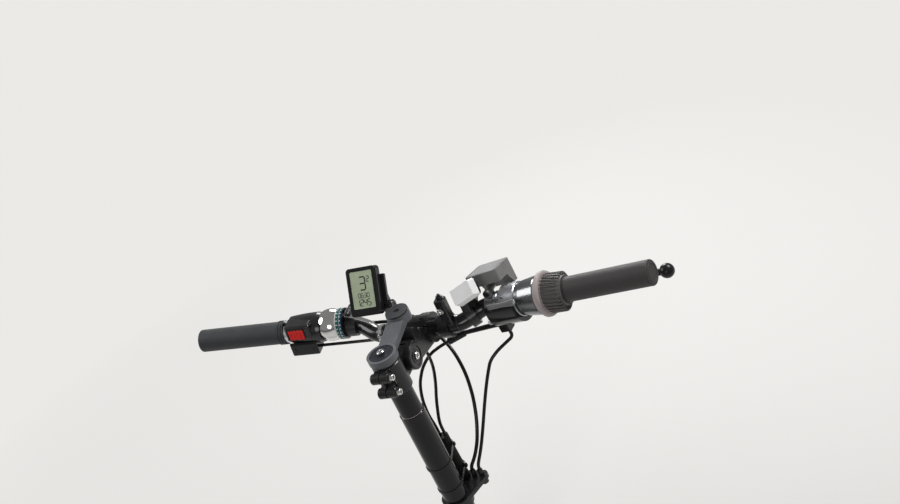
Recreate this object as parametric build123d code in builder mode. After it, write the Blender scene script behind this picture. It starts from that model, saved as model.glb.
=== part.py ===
from build123d import *
from math import atan2, cos, degrees, radians, sin, tan
import os

# Handlebar, stem, controls and steering head of a cycle rickshaw.
# Millimetres. The origin is the middle of the head tube, +Z runs up the steering axis,
# +Y points the way the vehicle drives and +X to the rider's right.

os.makedirs("parts", exist_ok=True)

# Clearances that several pieces share
fit_gap = 0.2
control_gap = 0.3
edge_break = 1

# Head tube and headset
head_tube_length = 120
head_tube_diameter = 44
head_tube_wall = 4.5
cup_diameter = 42
cup_flange_height = 8
cup_skirt_height = 12
cup_chamfer = 1.5
race_height = 6
race_diameter = 38
cover_height = 12
cover_lip = 3
cover_collar = 1
headset_gap = 0.3
bearing_clearance = 0.05

# Steerer and column
steerer_diameter = 28.6
steerer_bore = 22.2
fork_end_diameter = 27
steerer_tail = 38
lower_column_diameter = 34
upper_column_diameter = 31.2
upper_column_bore = 25.4
column_joint_drop = 96
column_spigot = 40
column_edge_chamfer = 1
stem_top = 365

# Steerer clamp
clamp_outer = 38
clamp_top_drop = 13
clamp_height = 44
clamp_rim_chamfer = 1.2
clamp_slot = 1.6
ear_width = 26
ear_height = 14
ear_web = 9
ear_round = 2
pinch_bolt_back = 24.5
pinch_bolt_drop = 20.4
pinch_bolt_pitch = 23.2
pinch_bolt_diameter = 5
pinch_head_diameter = 8.5
pinch_head_height = 5

# Rear ring, brace arm and caps on top
ring_diameter = 40
ring_height = 12
ring_lower_round = 4
rear_cap_diameter = 33
rear_cap_recess = 2
rear_cap_height = 1.5
arm_width = 25
arm_ridge_start = -2.5
arm_ridge_below_boss = 3
arm_facet_fall = 2.5
arm_rise = 11.5
arm_setback = 29.9
boss_diameter = 32
boss_height = 15
front_cap_diameter = 31
front_cap_height = 2
front_cap_neck = 24
front_cap_gap = 1
front_cap_socket = 9

# Stem extension: pivot and bar clamp
pivot_reach = 34.2
pivot_drop = 35.8
pivot_diameter = 35.6
pivot_width = 44.8
pivot_face_diameter = 27
pivot_face_depth = 1
pivot_round = 1.5
lug_width = 24
lug_diameter = 32
lug_side_gap = 0.3
lug_end_gap = 2
pivot_bolt_diameter = 8
pivot_head_diameter = 10
pivot_head_height = 3
neck_half_width = 19
neck_root_diameter = 30
neck_round = 3
post_diameter = 28
upper_lump_diameter = 14
lower_lump_diameter = 18
lower_lump_back = 12
lower_lump_drop = 9
lump_half_width = 20
bar_reach = 101.5
bar_drop = 43
clamp_half_width = 23
bar_clamp_diameter = 41
clamp_split_angle = 50
clamp_split_gap = 1.5
clamp_ear_reach = 19.5
clamp_ear_length = 16
clamp_ear_height = 9
clamp_window_width = 18
clamp_window_height = 20

# Handlebar
bar_width = 671
bar_centre_diameter = 25.4
bar_diameter = 22.2
bar_bore = 17.8
bar_centre_half = 50
bar_taper_end = 61
bar_step = 0.3
bar_bend_start = 64
bar_bend_end = 95.3
bar_forward = 18.3
bar_rise = 8.3
bar_bend_radius = 30
grip_sweep = 7.1
grip_lift = 7.7

# Grips. The controls are stacked outward from the corner where the grip part begins
grip_diameter = 32
grip_end_wall = 4
grip_end_round = 2
grip_rib_diameter = 34
grip_rib_width = 2.4
grip_rib_gap = 1.4
grip_rib_count = 3

# Left controls, from the stem outward
left_stack_start = 18.7
bell_rise = 5
bell_ring_length = 11
bell_ring_diameter = 43
bell_groove_count = 3
bell_groove_width = 1
bell_groove_depth = 0.6
bell_body_length = 23
bell_diameter = 45
bell_rim_diameter = 39
bell_to_housing = 1
housing_rise = 3
housing_length = 47
housing_diameter = 43
housing_outer_diameter = 38
housing_rim_width = 5
rocker_block_reach = 24
rocker_block_width = 36
rocker_block_height = 24
rocker_block_round = 4
rocker_lift = 11
rocker_from_outer_end = 4.5
rocker_width = 22
rocker_height = 15
rocker_depth = 6
rocker_sink = 2.5
rocker_gap = 0.5
rocker_rib_count = 5
rocker_rib_width = 2.4
rocker_rib_height = 0.9
pod_back = 10
pod_drop = 17
pod_width = 40
pod_depth = 24
pod_height = 23
pod_round = 4
pod_from_outer_end = -3
housing_to_collar = 4
collar_width = 6
collar_diameter = 30
collar_ear_width = 9
collar_ear_height = 6

# Right controls, from the stem outward
right_stack_start = 23.5
shifter_bead_length = 3.5
shifter_bead_diameter = 33
shifter_neck_length = 10
shifter_neck_diameter = 30
shifter_drum_length = 22.5
shifter_drum_diameter = 48
shifter_drum_end_diameter = 45.5
shifter_groove_length = 5.5
shifter_groove_diameter = 43
shifter_housing_length = 25
shifter_housing_start_diameter = 46
shifter_housing_diameter = 52
flange_width = 9
flange_diameter = 59
flange_round = 3.5
twist_cone_length = 27
twist_cone_diameter = 48
twist_tip_diameter = 37
twist_rib_count = 30
twist_rib_width = 2.2
twist_rib_height = 1.1

# Brake perches and levers
perch_start = 9
left_perch_inward = 4.2
perch_width = 14
perch_diameter = 30
perch_thickness = 16
perch_arm_root_out = 12
perch_pivot_diameter = 20
perch_slot_diameter = 28
perch_pin_diameter = 6
pinch_barrel_up = 20
pinch_barrel_diameter = 10
pinch_barrel_back = 6
pinch_barrel_length = 22
lever_drop_angle = 34
lever_pivot_out = 48
lever_pivot_forward = 36
lever_thickness = 9
lever_slot_gap = 0.3
lever_end_from_tip = 10.5
lever_end_forward = 60
lever_knuckle_along = 62
lever_knuckle_forward = 61
lever_knuckle_width = 15
lever_root_width = 20
lever_tip_width = 10
lever_round = 2.5
lever_ball_diameter = 19

# Display
display_width = 46
display_height = 65
display_thickness = 12
display_corner = 5
display_edge_round = 1.5
display_tilt = 34.3
display_x = -53
display_behind_bar = 1.5
display_above_bar = 73.3
screen_width = 34
screen_height = 50
screen_raise = 5
screen_depth = 1
screen_corner = 2
glass_thickness = 0.8
mount_x = -34
mount_width = 12
mount_wall = 4
mount_arm_forward = 8
mount_arm_thickness = 8
mount_arm_height = 85
mount_hinge_diameter = 14
mount_hinge_forward = 2
mount_hinge_up = 43
mount_hinge_width = 18
mount_plate_width = 30
mount_plate_height = 40
mount_plate_thickness = 4
mount_plate_shift = 13

# Cable ends at the controls
adjuster_out = 26
adjuster_boss_diameter = 12
adjuster_boss_length = 24
adjuster_boss_proud = 2
adjuster_diameter = 9
adjuster_collar_length = 6
adjuster_nose_diameter = 6.6
adjuster_nose_length = 8
cable_box_drop = 40
cable_box_depth = 15
cable_box_forward = -3
cable_box_round = 2
guard_start = 17
guard_length = 41
guard_radius = 24.5
guard_wall = 4.5
guard_top_angle = 153
guard_sweep = 122
arm_drop = 29
arm_root_diameter = 8
arm_tip_diameter = 6
arm_end_x = 50
arm_end_y = 119
arm_end_drop = 72
barrel_end_x = 22
barrel_end_y = 118
barrel_end_drop = 82
barrel_diameter = 10
barrel_groove_diameter = 7.6
barrel_ring_count = 5

# Accessories on the right of the stem
accessory_clamp_start = 35
accessory_clamp_width = 14
accessory_clamp_wall = 4.3
accessory_block_start = 43
accessory_block_width = 14
accessory_block_depth = 14
accessory_block_height = 32
accessory_block_up = 29
accessory_block_forward = -4
accessory_block_round = 2.5
cover_x = 90
cover_behind_bar = 1.5
cover_above_bar = 47
cover_roll_angle = 24
cover_lean_angle = 35
cover_width = 38
cover_length = 25
cover_thickness = 11
cover_taper = 12
cover_corner = 4
cover_base_inset = 3
cover_base_thickness = 8
cover_ring_from_middle = 80
cover_ring_width = 12
cover_ring_wall = 4
cover_post_forward = -2
cover_post_depth = 14
cover_post_top = 33
lamp_arm_start = -2
lamp_arm_width = 14
lamp_arm_root = -4
lamp_arm_tip = 18
lamp_arm_low = 15.5
lamp_arm_high = 33
lamp_arm_depth = 12
lamp_arm_spread = 2
lamp_x = 102.2
lamp_ahead = 25.5
lamp_above_bar = 53.3
lamp_yaw_angle = 9.4
lamp_pitch_angle = 13.6
lamp_roll_angle = -10
lamp_width = 50
lamp_rear_height = 16.5
lamp_front_height = 31
lamp_belly = 25
lamp_depth = 40
lamp_corner = 4
lamp_rim = 3
lamp_lens_depth = 3

# Cables
brake_cable_diameter = 5
shift_cable_diameter = 4.6
switch_wire_diameter = 4.4
sleeve_diameter = 18
sleeve_top_diameter = 14
sleeve_x = 2
sleeve_y = 34
sleeve_drop = 172
cable_stop_drop = 250
cable_stop_height = 14
cable_stop_plate = 6
cable_stop_collar = 42
cable_stop_x = 28
cable_stop_y = 36
cable_stop_spacing = 11
cable_stop_boss = 10.4
cable_stop_edge = 3

# Places that follow from the sizes
bar_height = stem_top - bar_drop
pivot_height = stem_top - pivot_drop
arm_reach = bar_reach - arm_setback
grip_run = (bar_width / 2 - bar_bend_end) / (cos(radians(grip_sweep)) * cos(radians(grip_lift)))
bar_end = grip_run - grip_end_wall - fit_gap
grip_bore = bar_diameter / 2 + fit_gap


def bar_bend_point(side):
    """Corner where the bar turns into its grip part."""
    return Vector(side * bar_bend_end, bar_reach + bar_forward, bar_height + bar_rise)


def about_bar(side, outward):
    """Plane across the grip part of the bar, local x forward, y up, z to the rider's right."""
    sweep = radians(grip_sweep)
    lift = radians(grip_lift)
    away = Vector(side * cos(sweep) * cos(lift), -sin(sweep) * cos(lift), sin(lift))
    forward = Vector(side * sin(sweep), cos(sweep), 0)
    return Plane(origin=bar_bend_point(side) + away * outward, x_dir=forward, z_dir=away * side)


def left_piece(start, length):
    """Plane at the outer end of a piece on the left grip, so that it is extruded inward."""
    return about_bar(-1, start + length)


def along_grip(side, start, rise=0):
    """Plane along the grip, or raised above its axis, local x outward and y across it."""
    across = about_bar(side, start)
    away = across.z_dir * side
    return Plane(origin=across.origin + across.y_dir * rise, x_dir=away, z_dir=away.cross(across.y_dir))


def grip_axis(side, rise=0):
    """Axis of the grip part, or a line raised above it."""
    across = about_bar(side, 0)
    return Axis(across.origin + across.y_dir * rise, across.z_dir)


# Head tube: a plain round tube, the vehicle's frame tubes are welded to its outside
head_tube_bore = head_tube_diameter - 2 * head_tube_wall
with BuildPart() as head_tube:
    with BuildSketch(Plane.XY.offset(-head_tube_length / 2)):
        Circle(head_tube_diameter / 2)
        Circle(head_tube_bore / 2, mode=Mode.SUBTRACT)
    extrude(amount=head_tube_length)
head_tube.part.label = "head_tube"
export_step(head_tube.part, "parts/head_tube.step")

# Headset cups: a flange a little narrower than the tube and a skirt pressed inside it
cup_bore = steerer_diameter / 2 + bearing_clearance
cup_foot = head_tube_length / 2
with BuildPart() as upper_cup:
    with BuildSketch(Plane.XZ):
        with BuildLine():
            Polyline(
                (cup_bore, cup_foot - cup_skirt_height),
                (head_tube_bore / 2, cup_foot - cup_skirt_height),
                (head_tube_bore / 2, cup_foot),
                (cup_diameter / 2 - cup_chamfer, cup_foot),
                (cup_diameter / 2, cup_foot + cup_chamfer),
                (cup_diameter / 2, cup_foot + cup_flange_height),
                (cup_bore, cup_foot + cup_flange_height),
                close=True,
            )
        make_face()
    revolve(axis=Axis.Z)
upper_cup.part.label = "upper_cup"
export_step(upper_cup.part, "parts/upper_cup.step")

with BuildPart() as lower_cup:
    mirror(upper_cup.part, about=Plane.XY)
lower_cup.part.label = "lower_cup"
export_step(lower_cup.part, "parts/lower_cup.step")

# Headset cover: the cone that turns with the column over the upper cup
cover_bottom = cup_foot + cup_flange_height + headset_gap
column_bottom = cover_bottom + cover_height
with BuildPart() as headset_cover:
    with BuildSketch(Plane.XZ):
        with BuildLine():
            Polyline(
                (steerer_diameter / 2, cover_bottom),
                (cup_diameter / 2, cover_bottom),
                (cup_diameter / 2, cover_bottom + cover_lip),
                (lower_column_diameter / 2 + cover_collar, column_bottom),
                (steerer_diameter / 2, column_bottom),
                close=True,
            )
        make_face()
    revolve(axis=Axis.Z)
headset_cover.part.label = "headset_cover"
export_step(headset_cover.part, "parts/headset_cover.step")

# Crown race: the ring under the lower cup, seated on the steerer
race_top = -(cup_foot + cup_flange_height + headset_gap)
race_bottom = race_top - race_height
with BuildPart() as crown_race:
    with BuildSketch(Plane.XZ):
        with BuildLine():
            Polyline(
                (steerer_diameter / 2, race_top),
                (race_diameter / 2, race_top),
                (race_diameter / 2, race_bottom + cup_chamfer),
                (race_diameter / 2 - cup_chamfer, race_bottom),
                (steerer_diameter / 2, race_bottom),
                close=True,
            )
        make_face()
    revolve(axis=Axis.Z)
crown_race.part.label = "crown_race"
export_step(crown_race.part, "parts/crown_race.step")

# Lower column: steerer through the head tube, wide tube above, spigot into the upper tube
steerer_bottom = race_bottom - steerer_tail
column_joint = stem_top - column_joint_drop
spigot_radius = upper_column_bore / 2
with BuildPart() as lower_column:
    with BuildSketch(Plane.XZ):
        with BuildLine():
            Polyline(
                (steerer_bore / 2, steerer_bottom),
                (fork_end_diameter / 2, steerer_bottom),
                (fork_end_diameter / 2, race_bottom),
                (steerer_diameter / 2, race_bottom),
                (steerer_diameter / 2, column_bottom),
                (lower_column_diameter / 2, column_bottom),
                (lower_column_diameter / 2, column_joint - column_edge_chamfer),
                (lower_column_diameter / 2 - column_edge_chamfer, column_joint),
                (spigot_radius, column_joint),
                (spigot_radius, column_joint + column_spigot),
                (steerer_bore / 2, column_joint + column_spigot),
                close=True,
            )
        make_face()
    revolve(axis=Axis.Z)
lower_column.part.label = "lower_column"
export_step(lower_column.part, "parts/lower_column.step")

# Upper column: the tube that the stem is clamped on
with BuildPart() as upper_column:
    with BuildSketch(Plane.XY.offset(column_joint)):
        Circle(upper_column_diameter / 2)
        Circle(upper_column_bore / 2, mode=Mode.SUBTRACT)
    extrude(amount=column_joint_drop - ring_height)
upper_column.part.label = "upper_column"
export_step(upper_column.part, "parts/upper_column.step")

# Steerer clamp: barrel round the column, split behind between two pinch bolts' barrels,
# with a lug in front for the pivot
clamp_bottom = stem_top - clamp_top_drop - clamp_height
bolt_places = [
    (-pinch_bolt_back, stem_top - pinch_bolt_drop),
    (-pinch_bolt_back, stem_top - pinch_bolt_drop - pinch_bolt_pitch),
]
with BuildPart() as steerer_clamp:
    with BuildSketch(Plane.YZ.offset(-ear_width / 2)):
        with Locations(*bolt_places):
            Circle(ear_height / 2)
    extrude(amount=ear_width)
    fillet(steerer_clamp.edges().filter_by(GeomType.CIRCLE), ear_round)
    with BuildSketch(Plane.XY.offset(clamp_bottom)):
        Circle(clamp_outer / 2)
    extrude(amount=clamp_height)
    clamp_rims = steerer_clamp.edges().filter_by(GeomType.CIRCLE).sort_by(SortBy.RADIUS)
    chamfer(clamp_rims[-2:], clamp_rim_chamfer)
    with BuildSketch(Plane.YZ.offset(-ear_web)):
        for back, height in bolt_places:
            with Locations((back / 2, height)):
                Rectangle(-back, ear_height)
    extrude(amount=2 * ear_web)
    with BuildSketch(Plane.YZ.offset(-lug_width / 2)):
        with Locations((pivot_reach, pivot_height)):
            Circle(lug_diameter / 2)
        with Locations((pivot_reach / 2, pivot_height)):
            Rectangle(pivot_reach, lug_diameter)
    extrude(amount=lug_width)
    with BuildSketch(Plane.XY.offset(clamp_bottom)):
        Circle(upper_column_diameter / 2)
        with Locations((0, -clamp_outer)):
            Rectangle(clamp_slot, 2 * clamp_outer)
    extrude(amount=clamp_height, mode=Mode.SUBTRACT)
    with BuildSketch(Plane.YZ.offset(-ear_width)):
        with Locations(*bolt_places):
            Circle(pinch_bolt_diameter / 2)
        with Locations((pivot_reach, pivot_height)):
            Circle(pivot_bolt_diameter / 2)
    extrude(amount=2 * ear_width, mode=Mode.SUBTRACT)
steerer_clamp.part.label = "steerer_clamp"
export_step(steerer_clamp.part, "parts/steerer_clamp.step")

# Pinch bolts: two cross bolts whose heads face the rider's right
with BuildPart() as pinch_bolts:
    with BuildSketch(Plane.YZ.offset(-ear_width / 2)):
        with Locations(*bolt_places):
            Circle(pinch_bolt_diameter / 2)
    extrude(amount=ear_width)
    with BuildSketch(Plane.YZ.offset(ear_width / 2)):
        with Locations(*bolt_places):
            Circle(pinch_head_diameter / 2)
    extrude(amount=pinch_head_height)
pinch_bolts.part.label = "pinch_bolts"
export_step(pinch_bolts.part, "parts/pinch_bolts.step")

# Brace arm: a ring over the column's end, a ridged arm that rises forward, and a round boss
boss_top = stem_top + arm_rise - front_cap_height - front_cap_gap
boss_bottom = stem_top + arm_rise - boss_height
ring_bottom = stem_top - ring_height
ridge_rear = stem_top + arm_ridge_start
ridge_front = stem_top + arm_rise - arm_ridge_below_boss


with BuildPart() as brace_arm:
    with BuildSketch(Plane.XY.offset(ring_bottom)):
        Circle(ring_diameter / 2)
    extrude(amount=ring_height)
    fillet(brace_arm.edges().group_by(Axis.Z)[0], ring_lower_round)
    for distance, ridge, bottom in ((0, ridge_rear, ring_bottom), (arm_reach, ridge_front, boss_bottom)):
        with BuildSketch(Plane.XZ.offset(-distance)):
            with BuildLine():
                Polyline(
                    (-arm_width / 2, bottom),
                    (arm_width / 2, bottom),
                    (arm_width / 2, ridge - arm_facet_fall),
                    (0, ridge),
                    (-arm_width / 2, ridge - arm_facet_fall),
                    close=True,
                )
            make_face()
    loft(ruled=True)
    with BuildSketch(Plane.XY.offset(boss_bottom)):
        with Locations((0, arm_reach)):
            Circle(boss_diameter / 2)
    extrude(amount=boss_top - boss_bottom)
    with BuildSketch(Plane.XY.offset(stem_top - rear_cap_recess)):
        Circle(rear_cap_diameter / 2)
    extrude(amount=rear_cap_recess + arm_rise, mode=Mode.SUBTRACT)
brace_arm.part.label = "brace_arm"
export_step(brace_arm.part, "parts/brace_arm.step")

# Rear cap: the textured disc in the ring's recess with its bolt
with BuildPart() as rear_cap:
    with BuildSketch(Plane.XY.offset(stem_top - rear_cap_recess)):
        Circle(rear_cap_diameter / 2 - fit_gap)
    extrude(amount=rear_cap_height)
    with BuildSketch(Plane.XY.offset(stem_top - rear_cap_recess + rear_cap_height)):
        Circle(pinch_head_diameter / 2)
    extrude(amount=rear_cap_recess)
rear_cap.part.label = "rear_cap"
export_step(rear_cap.part, "parts/rear_cap.step")

# Front cap: a disc on a short neck, with a socket in its middle
with BuildPart() as front_cap:
    with BuildSketch(Plane.XY.offset(boss_top)):
        with Locations((0, arm_reach)):
            Circle(front_cap_neck / 2)
    extrude(amount=front_cap_gap)
    with BuildSketch(Plane.XY.offset(boss_top + front_cap_gap)):
        with Locations((0, arm_reach)):
            Circle(front_cap_diameter / 2)
    extrude(amount=front_cap_height)
    with BuildSketch(Plane.XY.offset(boss_top + front_cap_gap)):
        with Locations((0, arm_reach)):
            RegularPolygon(front_cap_socket / 2, 6)
    extrude(amount=front_cap_height, mode=Mode.SUBTRACT)
front_cap.part.label = "front_cap"
export_step(front_cap.part, "parts/front_cap.step")

# Stem extension: cheeks round the lug, neck, post under the arm, and the back of the bar clamp
split_normal = (cos(radians(clamp_split_angle)), sin(radians(clamp_split_angle)))
split_plane = Plane(
    origin=(0, bar_reach, bar_height),
    x_dir=(1, 0, 0),
    z_dir=(0, *split_normal),
)
upper_lump = (arm_reach, boss_bottom - control_gap - upper_lump_diameter / 2)
lower_lump = (arm_reach - lower_lump_back, upper_lump[1] - lower_lump_drop)
ear_back = clamp_ear_reach * split_normal[1]
ear_up = clamp_ear_reach * split_normal[0]
clamp_ears = [
    Location((bar_reach - ear_back, bar_height + ear_up), clamp_split_angle),
    Location((bar_reach + ear_back, bar_height - ear_up), clamp_split_angle),
]
with BuildPart() as stem_extension:
    with BuildSketch(Plane.YZ.offset(-neck_half_width)):
        with BuildLine():
            CenterArc((pivot_reach, pivot_height), neck_root_diameter / 2, 0, 360)
            CenterArc((bar_reach, bar_height), bar_clamp_diameter / 2, 0, 360)
        make_hull()
    extrude(amount=2 * neck_half_width)
    fillet(stem_extension.edges().filter_by(Plane.YZ), neck_round)
    with BuildSketch(Plane.YZ.offset(-pivot_width / 2)):
        with Locations((pivot_reach, pivot_height)):
            Circle(pivot_diameter / 2)
    extrude(amount=pivot_width)
    cheek_edges = stem_extension.edges().filter_by(
        lambda edge: edge.geom_type == GeomType.CIRCLE
        and abs(edge.radius - pivot_diameter / 2) < fit_gap
        and abs(abs(edge.center().X) - pivot_width / 2) < fit_gap
    )
    fillet(cheek_edges, pivot_round)
    with BuildSketch(Plane.YZ.offset(-lump_half_width)):
        with Locations(upper_lump):
            Circle(upper_lump_diameter / 2)
        with Locations(lower_lump):
            Circle(lower_lump_diameter / 2)
    extrude(amount=2 * lump_half_width)
    with BuildSketch(Plane.YZ.offset(-clamp_half_width)):
        with Locations((bar_reach, bar_height)):
            Circle(bar_clamp_diameter / 2)
        with Locations(*clamp_ears):
            Rectangle(clamp_ear_length, clamp_ear_height)
    extrude(amount=2 * clamp_half_width)
    with BuildSketch(Plane.XY.offset(pivot_height)):
        with Locations((0, arm_reach)):
            Circle(post_diameter / 2)
    extrude(amount=boss_bottom - pivot_height)
    with BuildSketch(Plane.YZ.offset(-lug_width / 2 - lug_side_gap)):
        with Locations((pivot_reach, pivot_height)):
            Circle(lug_diameter / 2 + lug_end_gap)
        with Locations((pivot_reach / 2, pivot_height)):
            Rectangle(pivot_reach, lug_diameter + 2 * lug_end_gap)
    extrude(amount=lug_width + 2 * lug_side_gap, mode=Mode.SUBTRACT)
    with BuildSketch(Plane.YZ.offset(-pivot_width)):
        with Locations((pivot_reach, pivot_height)):
            Circle(pivot_bolt_diameter / 2)
        with Locations((bar_reach, bar_height)):
            Circle(bar_centre_diameter / 2)
    extrude(amount=2 * pivot_width, mode=Mode.SUBTRACT)
    for cheek_side in (-1, 1):
        with BuildSketch(Plane.YZ.offset(cheek_side * (pivot_width / 2 - pivot_face_depth))):
            with Locations((pivot_reach, pivot_height)):
                Circle(pivot_face_diameter / 2)
        extrude(amount=cheek_side * pivot_face_depth, mode=Mode.SUBTRACT)
    split(bisect_by=split_plane.offset(-clamp_split_gap / 2), keep=Keep.BOTTOM)
stem_extension.part.label = "stem_extension"
export_step(stem_extension.part, "parts/stem_extension.step")

# Bar clamp cap: the front half of the clamp, with a window between its two pairs of bolts
with BuildPart() as bar_clamp_cap:
    with BuildSketch(Plane.YZ.offset(-clamp_half_width)):
        with Locations((bar_reach, bar_height)):
            Circle(bar_clamp_diameter / 2)
        with Locations(*clamp_ears):
            Rectangle(clamp_ear_length, clamp_ear_height)
        with Locations((bar_reach, bar_height)):
            Circle(bar_centre_diameter / 2, mode=Mode.SUBTRACT)
    extrude(amount=2 * clamp_half_width)
    split(bisect_by=split_plane.offset(clamp_split_gap / 2), keep=Keep.TOP)
    with BuildSketch(split_plane):
        RectangleRounded(clamp_window_width, clamp_window_height, neck_round)
    extrude(amount=bar_clamp_diameter, mode=Mode.SUBTRACT)
bar_clamp_cap.part.label = "bar_clamp_cap"
export_step(bar_clamp_cap.part, "parts/bar_clamp_cap.step")

# Pivot bolt: a shank through cheeks and lug, with a round head in each cheek's face
pivot_seat = pivot_width / 2 - pivot_face_depth
with BuildPart() as pivot_bolt:
    with BuildSketch(Plane.YZ.offset(-pivot_seat)):
        with Locations((pivot_reach, pivot_height)):
            Circle(pivot_bolt_diameter / 2 - fit_gap)
    extrude(amount=2 * pivot_seat)
    for head_side in (-1, 1):
        with BuildSketch(Plane.YZ.offset(head_side * pivot_seat)):
            with Locations((pivot_reach, pivot_height)):
                Circle(pivot_head_diameter / 2)
        extrude(amount=head_side * pivot_head_height)
pivot_bolt.part.label = "pivot_bolt"
export_step(pivot_bolt.part, "parts/pivot_bolt.step")

# Handlebar: a tube with a thicker middle, two gentle bends and swept ends
bar_corners = [
    about_bar(-1, bar_end).origin,
    bar_bend_point(-1),
    Vector(-bar_bend_start, bar_reach, bar_height),
    Vector(bar_bend_start, bar_reach, bar_height),
    bar_bend_point(1),
    about_bar(1, bar_end).origin,
]
with BuildPart() as handlebar:
    with BuildLine() as bar_path:
        FilletPolyline(*bar_corners, radius=bar_bend_radius)
    with BuildSketch(Plane(origin=bar_path.wire() @ 0, z_dir=bar_path.wire() % 0)):
        Circle(bar_diameter / 2)
    sweep(path=bar_path.wire())
    with BuildSketch(Plane.XY.offset(bar_height)):
        with BuildLine():
            Polyline(
                (-bar_taper_end, bar_reach),
                (-bar_taper_end, bar_reach + bar_diameter / 2 + bar_step),
                (-bar_centre_half, bar_reach + bar_centre_diameter / 2),
                (bar_centre_half, bar_reach + bar_centre_diameter / 2),
                (bar_taper_end, bar_reach + bar_diameter / 2 + bar_step),
                (bar_taper_end, bar_reach),
                close=True,
            )
        make_face()
    revolve(axis=Axis((0, bar_reach, bar_height), (1, 0, 0)))
    with BuildSketch(Plane(origin=bar_path.wire() @ 0, z_dir=bar_path.wire() % 0)):
        Circle(bar_bore / 2)
    sweep(path=bar_path.wire(), mode=Mode.SUBTRACT)
handlebar.part.label = "handlebar"
export_step(handlebar.part, "parts/handlebar.step")

bar_wire = bar_path.wire()


def along_bar(distance):
    """Plane across the bar at a distance from its middle, local x forward, y up."""
    place = 0.5 + distance / bar_wire.length
    tangent = bar_wire % place
    return Plane(origin=bar_wire @ place, x_dir=Vector(0, 0, 1).cross(tangent), z_dir=tangent)


# Bell: a banded ring and a domed body that turn round the bar
with BuildPart() as bell_ring:
    with BuildSketch(along_grip(-1, left_stack_start, bell_rise)):
        with BuildLine():
            Polyline(
                (0, 0),
                (0, bell_ring_diameter / 2),
                (bell_ring_length, bell_ring_diameter / 2),
                (bell_ring_length, 0),
                close=True,
            )
        make_face()
        groove_pitch = bell_ring_length / (bell_groove_count + 1)
        for groove in range(1, bell_groove_count + 1):
            with Locations((groove * groove_pitch, bell_ring_diameter / 2)):
                Rectangle(bell_groove_width, 2 * bell_groove_depth, mode=Mode.SUBTRACT)
    revolve(axis=grip_axis(-1, bell_rise))
    with BuildSketch(left_piece(left_stack_start, bell_ring_length)):
        Circle(grip_bore)
    extrude(amount=bell_ring_length, mode=Mode.SUBTRACT)
bell_ring.part.label = "bell_ring"
export_step(bell_ring.part, "parts/bell_ring.step")

bell_start = left_stack_start + bell_ring_length + control_gap
with BuildPart() as bell_body:
    with BuildSketch(along_grip(-1, bell_start, bell_rise)):
        with BuildLine():
            Polyline(
                (0, bell_rim_diameter / 2),
                (0, 0),
                (bell_body_length, 0),
                (bell_body_length, bell_rim_diameter / 2),
            )
            ThreePointArc(
                (bell_body_length, bell_rim_diameter / 2),
                (bell_body_length / 2, bell_diameter / 2),
                (0, bell_rim_diameter / 2),
            )
        make_face()
    revolve(axis=grip_axis(-1, bell_rise))
    with BuildSketch(left_piece(bell_start, bell_body_length)):
        Circle(grip_bore)
    extrude(amount=bell_body_length, mode=Mode.SUBTRACT)
bell_body.part.label = "bell_body"
export_step(bell_body.part, "parts/bell_body.step")

# Switch housing: a moulded barrel that swells towards the stem, with a rounded block
# towards the rider that holds the rocker in a recess
housing_start = bell_start + bell_body_length + bell_to_housing
rocker_start = housing_start + housing_length - rocker_from_outer_end - rocker_width
block_start = housing_start + housing_length - rocker_block_width
with BuildPart() as switch_housing:
    with BuildSketch(left_piece(block_start, rocker_block_width)):
        with Locations((-rocker_block_reach / 2, rocker_lift)):
            RectangleRounded(rocker_block_reach, rocker_block_height, rocker_block_round)
    extrude(amount=rocker_block_width)
    fillet(switch_housing.edges().group_by(Axis.X)[-1], rocker_block_round)
    with BuildSketch(along_grip(-1, housing_start, housing_rise)):
        with BuildLine():
            Polyline(
                (housing_rim_width, housing_diameter / 2),
                (0, housing_diameter / 2 - 1),
                (0, 0),
                (housing_length, 0),
                (housing_length, housing_outer_diameter / 2),
            )
            ThreePointArc(
                (housing_length, housing_outer_diameter / 2),
                (housing_length * 0.6, housing_diameter / 2 - 0.6),
                (housing_rim_width, housing_diameter / 2),
            )
        make_face()
    revolve(axis=grip_axis(-1, housing_rise))
    with BuildSketch(left_piece(rocker_start - rocker_gap, rocker_width + 2 * rocker_gap)):
        with Locations((-rocker_block_reach, rocker_lift)):
            Rectangle(2 * rocker_depth, rocker_height + 2 * rocker_gap)
    extrude(amount=rocker_width + 2 * rocker_gap, mode=Mode.SUBTRACT)
    with BuildSketch(left_piece(housing_start - housing_length, 3 * housing_length)):
        Circle(grip_bore)
    extrude(amount=3 * housing_length, mode=Mode.SUBTRACT)
switch_housing.part.label = "switch_housing"
export_step(switch_housing.part, "parts/switch_housing.step")

# Rocker: a slider key with raised ribs, standing a little out of its recess
rocker_floor = rocker_block_reach - rocker_depth
rocker_face = rocker_block_reach + rocker_sink - rocker_rib_height
with BuildPart() as rocker:
    with BuildSketch(left_piece(rocker_start, rocker_width)):
        with Locations((-(rocker_floor + rocker_face) / 2, rocker_lift)):
            Rectangle(rocker_face - rocker_floor, rocker_height)
    extrude(amount=rocker_width)
    rib_pitch = rocker_width / rocker_rib_count
    for rib in range(rocker_rib_count):
        rib_start = rocker_start + rib * rib_pitch + (rib_pitch - rocker_rib_width) / 2
        with BuildSketch(left_piece(rib_start, rocker_rib_width)):
            with Locations((-rocker_face, rocker_lift)):
                Rectangle(2 * rocker_rib_height, rocker_height)
        extrude(amount=rocker_rib_width)
rocker.part.label = "rocker"
export_step(rocker.part, "parts/rocker.step")

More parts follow.
